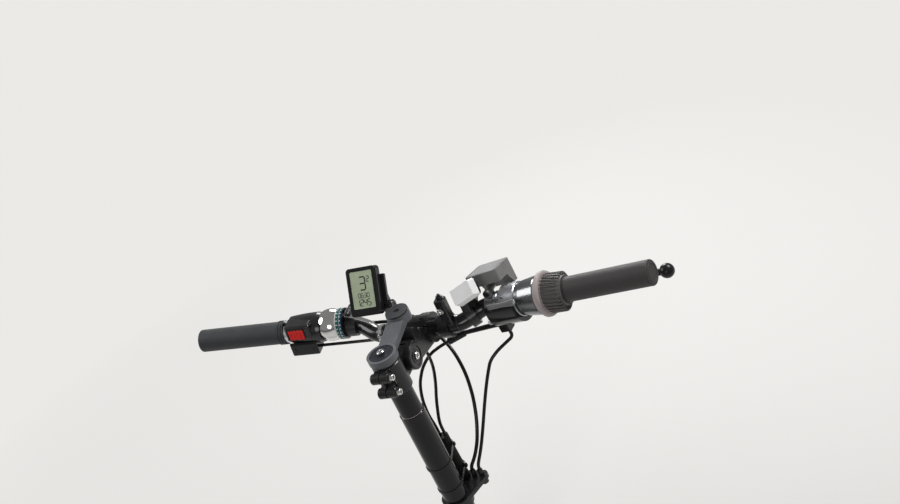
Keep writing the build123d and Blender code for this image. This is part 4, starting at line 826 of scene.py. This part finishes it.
thumb_lever = bmesh.new()
root = on_grip(-1, *lever_root).to_translation() + Vector((0, 0, bell_rise))
along = (lever_tip - root).normalized()
across = along.cross(Vector((0, 0, 1))).normalized()
thick = along.cross(across)
lever_section = [*lever_half_section, *[(-x, -y) for x, y in lever_half_section]]
loops = []
for step in range(lever_steps + 1):
    part = step / lever_steps
    centre = root.lerp(lever_tip, part) - thick * lever_bow * math.sin(math.pi * part)
    half_width = (lever_widths[0] * (1 - part) + lever_widths[1] * part) / 2
    if part > lever_round_from:
        past = (part - lever_round_from) / (1 - lever_round_from)
        half_width *= math.sqrt(max(lever_round_least, 1 - past**2))
    loop = []
    for x, y in lever_section:
        point = centre + across * x * half_width + thick * y * lever_thickness / 2
        loop.append(thumb_lever.verts.new(point))
    loops.append(loop)
skin(thumb_lever, loops, capped=True)
piece("bell_thumb_lever", thumb_lever, chrome)

# Shifter: a satin alloy drum by the perch, a dark glossy shell and the ribbed rubber twist grip.
# The rim of the grip is paler rubber, and fine ridges run between its moulded ribs. A knurled
# adjuster ends the cable in front.
twist_paint_start = 0.087
twist_paint_width = 0.04
twist_bands = ((0.0, (0.33, 0.285, 0.28)), (0.36, (0.075, 0.069, 0.067)))
ridge_middle = 0.1101
ridge_lean = math.radians(-11.5)
ridge_count = 30
ridge_sizes = {"radius": 0.0227, "length": 0.025, "width": 0.0014, "height": 0.0014}
drum_screw_place = (0.043, -0.0165, 0.0165)
drum_screw = (0.0046, 0.0007, 0.002)
adjuster_place = (0.0172, -0.0225, -0.0105)
adjuster_rings = (
    (0.0022, 0.006),
    (0.0037, 0.006),
    (0.0043, 0.0052),
    (0.0043, 0.0016),
    (0.0034, 0.0012),
    (0.0034, 0.0),
    (0.0022, 0.0),
)
knurl_place = (0, 0, -0.0034)
knurl_sizes = {"count": 16, "radius": 0.0043, "length": 0.003, "width": 0.0008, "height": 0.0007}
drum_finish = finish(
    "drum_finish", (0.36, 0.37, 0.39), 0.3, metal=0.9, worn_colour=(0.4, 0.4, 0.4),
    grain_scale=1500, grain=0.012, coat=0.2,
)
satin_alloy = finish(
    "satin_alloy", (0.5, 0.5, 0.5), 0.3, metal=0.9, grain_scale=1500, grain=0.02, scratches=0.2
)
dark_alloy = finish(
    "dark_alloy", (0.03, 0.03, 0.032), 0.28, metal=0.5, worn_colour=(0.35, 0.35, 0.35),
    grain_scale=1500, grain=0.02,
)
shell_plastic = finish(
    "shell_plastic", (0.009, 0.009, 0.01), 0.15, grain_scale=700, grain=0.01, coat=0.3
)
twist_rubber = finish(
    "twist_rubber", (0.1, 0.09, 0.09), 0.55, specular=0.4, worn_colour=(0.24, 0.21, 0.2),
    patchiness=0.2, grain_scale=900, grain=0.1,
)
dress(drum_finish, "shifter_clamp")
shell_alloy = finish(
    "shell_alloy", (0.17, 0.175, 0.18), 0.2, metal=0.85, worn_colour=(0.4, 0.4, 0.4),
    grain_scale=1500, grain=0.01, coat=0.2,
)
dress(shell_alloy, "shifter_housing")
dress(shell_plastic, "cable_box")
dress(dark_alloy, "shifter_barrel")
dress(satin_alloy, "left_adjuster")
dress(twist_rubber, "twist_grip")
paint_bands(twist_rubber, on_grip(1, twist_paint_start), twist_paint_width, twist_bands)
grown_piece(
    "twist_grip_ridges",
    ring_of_ribs,
    on_grip(1, ridge_middle),
    "rubber_grey",
    count=ridge_count,
    lean=ridge_lean,
    start=math.pi / ridge_count,
    finish=twist_rubber,
    **ridge_sizes,
)
drum_seat = facing_rider(1, *drum_screw_place)
turned_piece("drum_screw", black_steel, [drum_seat], screw_rings(drum_screw))
adjuster = on_grip(1, *adjuster_place)
adjuster_seat = adjuster @ Matrix.Rotation(math.pi, 4, "X")
turned_piece(
    "shift_cable_adjuster",
    satin_alloy,
    [adjuster_seat],
    adjuster_rings,
    closed=True,
)
grown_piece(
    "shift_adjuster_knurl",
    ring_of_ribs,
    adjuster @ Matrix.Translation(knurl_place),
    "bright_steel",
    finish=satin_alloy,
    **knurl_sizes,
)

# Brakes: forged levers and perches, the left perch black and the right one bare grey. A socket
# screw pinches each perch, each lever turns on a pin with a hex socket, and a grey arm lies over
# the shifter's drum.
lever_slope = math.radians(34)
pivot_out = 0.048
pivot_ahead = 0.036
perch_half_thickness = 0.008
pin_head = (0.0085, 0.0012)
pin_edge = 0.0006
pin_rise = 0.6
pin_mouth = 0.0017
pin_key = 0.0015
pin_floor = (0.4, 0.35)
perch_step = {1: 0.0, -1: 0.0042}
arm_reach = (0.0235, 0.068)
arm_steps = 24
arm_round_bar = math.radians(152)
arm_base = 0.0288
arm_height = 0.0046
arm_widths = (0.0085, 0.0062)
arm_corner = 0.0012
arm_waist_shift = 1.1
arm_end_power = 8
arm_end_least = 0.03
arm_end_share = 0.4
perch_screw_place = (0.016, -0.006, 0.02)
perch_screw = (0.0082, 0.0016, 0.0048)
perch_finish = finish(
    "perch_finish", (0.04, 0.04, 0.042), 0.3, metal=0.3, worn_colour=(0.4, 0.4, 0.4),
    grain_scale=1500, grain=0.03,
)
lever_finish = finish(
    "lever_finish", (0.01, 0.01, 0.011), 0.28, worn_colour=(0.35, 0.35, 0.35), grain_scale=1500,
    grain=0.02,
)
perch_alloy = finish(
    "perch_alloy", (0.2, 0.2, 0.2), 0.38, metal=0.6, worn_colour=(0.5, 0.5, 0.5),
    grain_scale=1500, grain=0.03,
)
dress(perch_alloy, "right_perch")
dress(perch_finish, "left_perch")
dress(lever_finish, "right_lever", "left_lever", "shifter_arm")
perch_seats = []
pin_seats = []
for side in (-1, 1):
    grip = on_grip(side, pivot_out)
    ahead, raised, right = (grip.col[axis].to_3d() for axis in range(3))
    inward = right * -side * perch_step[side]
    perch_seats.append(Matrix.Translation(inward) @ facing_rider(side, *perch_screw_place))
    lever_up = raised * math.cos(lever_slope) + ahead * math.sin(lever_slope)
    lever_ahead = ahead * math.cos(lever_slope) - raised * math.sin(lever_slope)
    pin_centre = grip.to_translation() + lever_ahead * pivot_ahead + inward
    for end in (-1, 1):
        pin_foot = pin_centre + lever_up * end * perch_half_thickness
        pin_seats.append(seat(pin_foot, lever_up * end, (1, 0, 0)))
pin_radius, pin_height = pin_head[0] / 2, pin_head[1]
pin_rings = [
    (0, 0),
    (pin_radius, 0),
    (pin_radius, pin_height * pin_rise),
    (pin_radius - pin_edge, pin_height),
    (pin_mouth, pin_height),
    (pin_key, pin_height * pin_floor[0], hex_sides),
    (0, pin_height * pin_floor[1]),
]

drum_arm = bmesh.new()
arm_first, arm_last = arm_reach
end_width, waist_width = arm_widths
loops = []
for step in range(arm_steps + 1):
    part = step / arm_steps
    end_round = math.sqrt(max(arm_end_least, 1 - abs(2 * part - 1) ** arm_end_power))
    waist = math.sin(math.pi * min(1, part * arm_waist_shift))
    width = (end_width + (waist_width - end_width) * waist) * end_round
    height = arm_height * (arm_end_share + (1 - arm_end_share) * end_round)
    frame_here = on_grip(1, arm_first + (arm_last - arm_first) * part)
    loop = []
    for corner in rounded_outline(width, height, arm_corner, steps=3):
        reach = arm_base + arm_height / 2 + corner.y
        turn = arm_round_bar + corner.x / arm_base
        point = Vector((reach * math.cos(turn), reach * math.sin(turn), 0))
        loop.append(drum_arm.verts.new(frame_here @ point))
    loops.append(loop)
skin(drum_arm, loops, capped=True)
piece("drum_arm", drum_arm, perch_alloy)
turned_piece("perch_screws", black_steel, perch_seats, screw_rings(perch_screw))
turned_piece("lever_pins", bolt_steel, pin_seats, pin_rings)

# Display: a thin black case with a grey-green liquid crystal glass, on a plastic clamp. The
# figures are dark bars of liquid crystal, and a ribbed knob locks the arm's angle.
display_tilt = math.radians(34.3)
display_centre = Vector((-0.053, 0.1, 0.3953))
glass_top = -0.0002
figure_thickness = 0.00016
figure_rows = (
    ("3", -0.0034, 0.0022, 0.0085, 0.0172, 0.0017),
    ("2", 0.0078, 0.0124, 0.0038, 0.0072, 0.0009),
    ("0630", -0.0078, -0.0078, 0.0034, 0.0056, 0.0006),
    ("1245", -0.0112, -0.0188, 0.0042, 0.0084, 0.0009),
)
figure_spacing = 1.35
stroke_gap = 0.12
segments_of = {
    "0": "abcdef",
    "1": "bc",
    "2": "abged",
    "3": "abgcd",
    "4": "fgbc",
    "5": "afgcd",
    "6": "afgedc",
}
segment_ends = {
    "a": ((0, 2), (1, 2)),
    "b": ((1, 1), (1, 2)),
    "c": ((1, 0), (1, 1)),
    "d": ((0, 0), (1, 0)),
    "e": ((0, 0), (0, 1)),
    "f": ((0, 1), (0, 2)),
    "g": ((0, 1), (1, 1)),
}
knob_place = (-0.025, 0.1035, 0.365)
knob_rings = (
    (0, 0),
    (0.0062, 0),
    (0.0062, 0.0006),
    (0.0072, 0.0012),
    (0.0072, 0.0042),
    (0.0064, 0.005),
    (0.003, 0.005),
    (0.0026, 0.0044),
    (0, 0.0044),
)
knob_rib_step = Vector((0.0027, 0, 0))
knob_rib_count = 18
knob_rib_sizes = {"radius": 0.0072, "length": 0.003, "width": 0.0012, "height": 0.001}
lcd_glass = finish(
    "lcd_glass", (0.4, 0.46, 0.32), 0.14, rough_spread=0.04, grain_scale=200, grain=0.002,
    coat=0.4, scratches=0.03,
)
liquid_crystal = finish(
    "liquid_crystal", (0.02, 0.024, 0.02), 0.3, grain_scale=900, grain=0.004, scratches=0
)
case_plastic = finish(
    "case_plastic", (0.009, 0.009, 0.01), 0.2, worn_colour=(0.12, 0.12, 0.12), grain_scale=1600,
    grain=0.015, coat=0.1,
)
dress(lcd_glass, "display_glass")
dress(case_plastic, "display_case")
dress(housing_plastic, "display_mount", "accessory_clamp")
display_turn = Matrix.Rotation(math.pi / 2 - display_tilt, 4, "X")
display_face = Matrix.Translation(display_centre) @ display_turn


def crystal_bar(bm, place, start, end, width):
    """Adds one segment of a figure: a thin bar with pointed ends."""
    along = (end - start).normalized()
    across = Vector((-along.y, along.x, 0)) * width / 2
    inset = along * width / 2
    near, far = start + inset, end - inset
    corners = (start, near + across, far + across, end, far - across, near - across)
    loops = [
        [bm.verts.new(place @ (corner + Vector((0, 0, rise)))) for corner in corners]
        for rise in (0, figure_thickness)
    ]
    skin(bm, loops, capped=True)


display_figures = bmesh.new()
for figures, left, bottom, width, height, stroke in figure_rows:
    for number, figure in enumerate(figures):
        x = left + number * width * figure_spacing
        for segment in segments_of[figure]:
            start, end = (
                Vector((x + column * width, bottom + row * height / 2, glass_top))
                for column, row in segment_ends[segment]
            )
            trim = (end - start).normalized() * (stroke * stroke_gap)
            crystal_bar(display_figures, display_face, start + trim, end - trim, stroke)
piece("display_figures", display_figures, liquid_crystal)

knob_seat = seat(knob_place, (1, 0, 0))
turned_piece("display_knob", housing_plastic, [knob_seat], knob_rings)
grown_piece(
    "display_knob_ribs",
    ring_of_ribs,
    seat(Vector(knob_place) + knob_rib_step, (1, 0, 0)),
    "housing_plastic",
    count=knob_rib_count,
    finish=housing_plastic,
    **knob_rib_sizes,
)

# Accessory block: a moulded block on a ring round the bar. A bright screw pinches the ring from
# the rider's side, and a nut and washer sit on the stud at its top.
block_screw_place = (0.0485, 0.0905, 0.3525)
block_screw = (0.0088, 0.0032, 0.0042)
block_stud_place = (0.0505, 0.0985)
nut_key = 0.0042
nut_rings = (
    (0, 0),
    (0.0055, 0),
    (0.0055, 0.0008),
    (nut_key, 0.0009, hex_sides),
    (nut_key, 0.0036, hex_sides),
    (0.0037, 0.004),
    (0.0022, 0.004),
    (0.0022, 0.0062),
    (0.0017, 0.0068),
    (0, 0.0068),
)
block_seat = seat(block_screw_place, (0, -1, 0))
turned_piece("accessory_screw", bolt_steel, [block_seat], screw_rings(block_screw))
nut_seat = upright(*block_stud_place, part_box("accessory_clamp")[1][2])
turned_piece("accessory_nut", black_steel, [nut_seat], nut_rings)

# Lamp and its silver cover: plastic bodies beside the right controls, on one bracket. The lamp's
# fluted lens lies in its front rim over a bright reflector, and its top is studded.
lamp_corner_place = Vector((0.1022, 0.127, 0.3753))
lamp_turn = (math.radians(-13.6), math.radians(-10), math.radians(-9.4))
lens_size = (0.0434, 0.0244)
lens_middle = -0.0155
lens_back = 0.0372
lens_thickness = 0.0022
flute_count = 18
flute_steps = 6
flute_depth = 0.00035
reflector_faces = (-0.0002, 0.0003)
lens_inner_face = 0.0004
lens_clearness = 0.9
stud_middle = 0.02
stud_sides = 4
field_sizes = {
    "columns": 15, "rows": 12, "width": 0.038, "depth": 0.03, "stud": 0.0013, "height": 0.0009
}
silver_paint = finish(
    "silver_paint", (0.9, 0.9, 0.9), 0.24, metal=0.05, worn_colour=(0.4, 0.4, 0.4),
    patchiness=0.5, grain_scale=2600, grain=0.015, rough_spread=0.05, scratches=0.01, dust=0.01,
)
lamp_plastic = finish(
    "lamp_plastic", (0.175, 0.172, 0.17), 0.3, specular=0.5, worn_colour=(0.35, 0.35, 0.35),
    grain_scale=2400, grain=0.04,
)
stud_plastic = finish(
    "stud_plastic", (0.42, 0.42, 0.42), 0.25, worn_colour=(0.5, 0.5, 0.5), grain_scale=1200,
    grain=0.01,
)
lamp_reflector = finish(
    "lamp_reflector", (0.8, 0.8, 0.8), 0.12, metal=1.0, grain_scale=260, grain=0.4
)
lens_glass = finish(
    "lens_glass", (0.9, 0.9, 0.9), 0.05, rough_spread=0.02, grain_scale=400, grain=0.01,
    scratches=0,
)
lens_shader = lens_glass.node_tree.nodes["Principled BSDF"]
lens_shader.inputs["Transmission Weight"].default_value = lens_clearness
dress(silver_paint, "silver_cover")
dress(housing_plastic, "cover_base")
dress(lamp_plastic, "lamp_body")
lamp_frame = Matrix.Translation(lamp_corner_place) @ (
    Matrix.Rotation(lamp_turn[0], 4, "X")
    @ Matrix.Rotation(lamp_turn[1], 4, "Y")
    @ Matrix.Rotation(lamp_turn[2], 4, "Z")
)
lens_place = Matrix.Translation((0, lens_back, lens_middle))
lens_frame = lamp_frame @ lens_place @ Matrix.Rotation(-math.pi / 2, 4, "X")
lens_width, lens_height = lens_size
for lens_name, (back, front), flute, lens_material in (
    ("lamp_reflector_plate", reflector_faces, 0, lamp_reflector),
    ("lamp_lens", (lens_inner_face, lens_thickness), flute_depth, lens_glass),
):
    lens = bmesh.new()
    columns = flute_count * flute_steps
    loops = []
    for column in range(columns + 1):
        part = column / columns
        crest = front + flute * abs(math.sin(math.pi * flute_count * part))
        loop = []
        for side, z in ((-0.5, back), (0.5, back), (0.5, crest), (-0.5, crest)):
            point = Vector(((part - 0.5) * lens_width, side * lens_height, z))
            loop.append(lens.verts.new(lens_frame @ point))
        loops.append(loop)
    skin(lens, loops, capped=True)
    piece(lens_name, lens, lens_material, smooth_below=60)


def stud_grid_tree():
    """Nodes that set low pointed studs in rows over a flat field, as one mesh."""
    tree, given, result = node_group(
        "field_of_studs",
        "GeometryNodeTree",
        {
            "Int": ("Columns", "Rows"),
            "Float": ("Width", "Depth", "Stud", "Height"),
            "Material": ("Finish",),
        },
        {"Geometry": ("Geometry",)},
    )
    field = {
        "Size X": given["Width"],
        "Size Y": given["Depth"],
        "Vertices X": given["Columns"],
        "Vertices Y": given["Rows"],
    }
    grid = add_node(tree, "GeometryNodeMeshGrid", field).outputs["Mesh"]
    cone = {"Vertices": stud_sides, "Radius Bottom": given["Stud"], "Depth": given["Height"]}
    stud = add_node(tree, "GeometryNodeMeshCone", cone).outputs["Mesh"]
    return one_mesh(tree, grid, stud, given, result)


grown_piece(
    "lamp_top_studs",
    stud_grid_tree(),
    lamp_frame @ Matrix.Translation((0, stud_middle, 0)),
    "lamp_grey",
    finish=stud_plastic,
    **field_sizes,
)

# Cables: black casings that run down to the stop on the column, and the wires' woven sleeve.
# Metal ferrules finish the casings, and nylon ties hold the sleeve to the column.
ferrule_places = ((0.017, 0.036), (0.028, 0.036))
ferrule_rings = (
    (0.0026, 0.0),
    (0.0036, 0.0),
    (0.0038, 0.0006),
    (0.0038, 0.0088),
    (0.0034, 0.0098),
    (0.0026, 0.0098),
)
tie_heights = (0.136, 0.176)
tie_width = 0.0036
tie_thickness = 0.0011
tie_steps = 40
tie_section = ((0, -0.5), (1, -0.4), (1, 0.4), (0, 0.5))
tie_sleeve = (0.002, 0.034)
tie_sleeve_radii = (0.0092, 0.0076)
tie_column_radius = 0.0171
tie_head = Vector((0.0052, 0.0042, 0.0056))
tie_head_edge = 0.0006
casing_black = finish("casing_black", (0.006, 0.006, 0.006), 0.24, grain_scale=700, grain=0.015)
sleeve_cloth = finish(
    "sleeve_cloth", (0.01, 0.01, 0.01), 0.7, specular=0.3, grain_scale=900, grain=0.2,
    grain_kind="cells",
)
tie_nylon = finish("tie_nylon", (0.012, 0.012, 0.012), 0.35, grain_scale=1200, grain=0.02)
dress(casing_black, "left_brake_cable", "down_shift_cable", "across_shift_cable", "switch_wire")
dress(sleeve_cloth, "wiring_sleeve")
dress(stem_paint, "cable_stop")
stop_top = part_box("cable_stop")[1][2]
ferrule_seats = [upright(*place, stop_top) for place in ferrule_places]
turned_piece(
    "cable_ferrules", dark_alloy, ferrule_seats, ferrule_rings, closed=True
)

sleeve_ties = bmesh.new()
for tie_height, sleeve_radius in zip(tie_heights, tie_sleeve_radii):
    sleeve = Vector((*tie_sleeve, 0))
    reach = sleeve.length
    spread = math.acos((tie_column_radius - sleeve_radius) / reach)
    towards = math.atan2(sleeve.y, sleeve.x)
    path = []
    for centre, radius, first, last in (
        (Vector((0, 0, 0)), tie_column_radius, towards + spread, towards + math.tau - spread),
        (sleeve, sleeve_radius, towards - spread, towards + spread),
    ):
        for step in range(tie_steps + 1):
            angle = first + (last - first) * step / tie_steps
            path.append((centre, radius, Vector((math.cos(angle), math.sin(angle), 0))))
    loops = []
    for centre, radius, out in path:
        loop = []
        for offset, rise in tie_section:
            level = Vector((0, 0, tie_height + rise * tie_width))
            point = centre + out * (radius + offset * tie_thickness) + level
            loop.append(sleeve_ties.verts.new(point))
        loops.append(loop)
    skin(sleeve_ties, loops, closed=True)
    head_centre = sleeve + Vector((sleeve_radius + tie_thickness, 0, tie_height))
    head_place = Matrix.Translation(head_centre) @ Matrix.Diagonal((*tie_head, 1))
    made = bmesh.ops.create_cube(sleeve_ties, size=1, matrix=head_place)
    head_edges = list({edge for vert in made["verts"] for edge in vert.link_edges})
    bmesh.ops.bevel(sleeve_ties, geom=head_edges, offset=tie_head_edge, segments=2, affect="EDGES")
piece("sleeve_ties", sleeve_ties, tie_nylon)
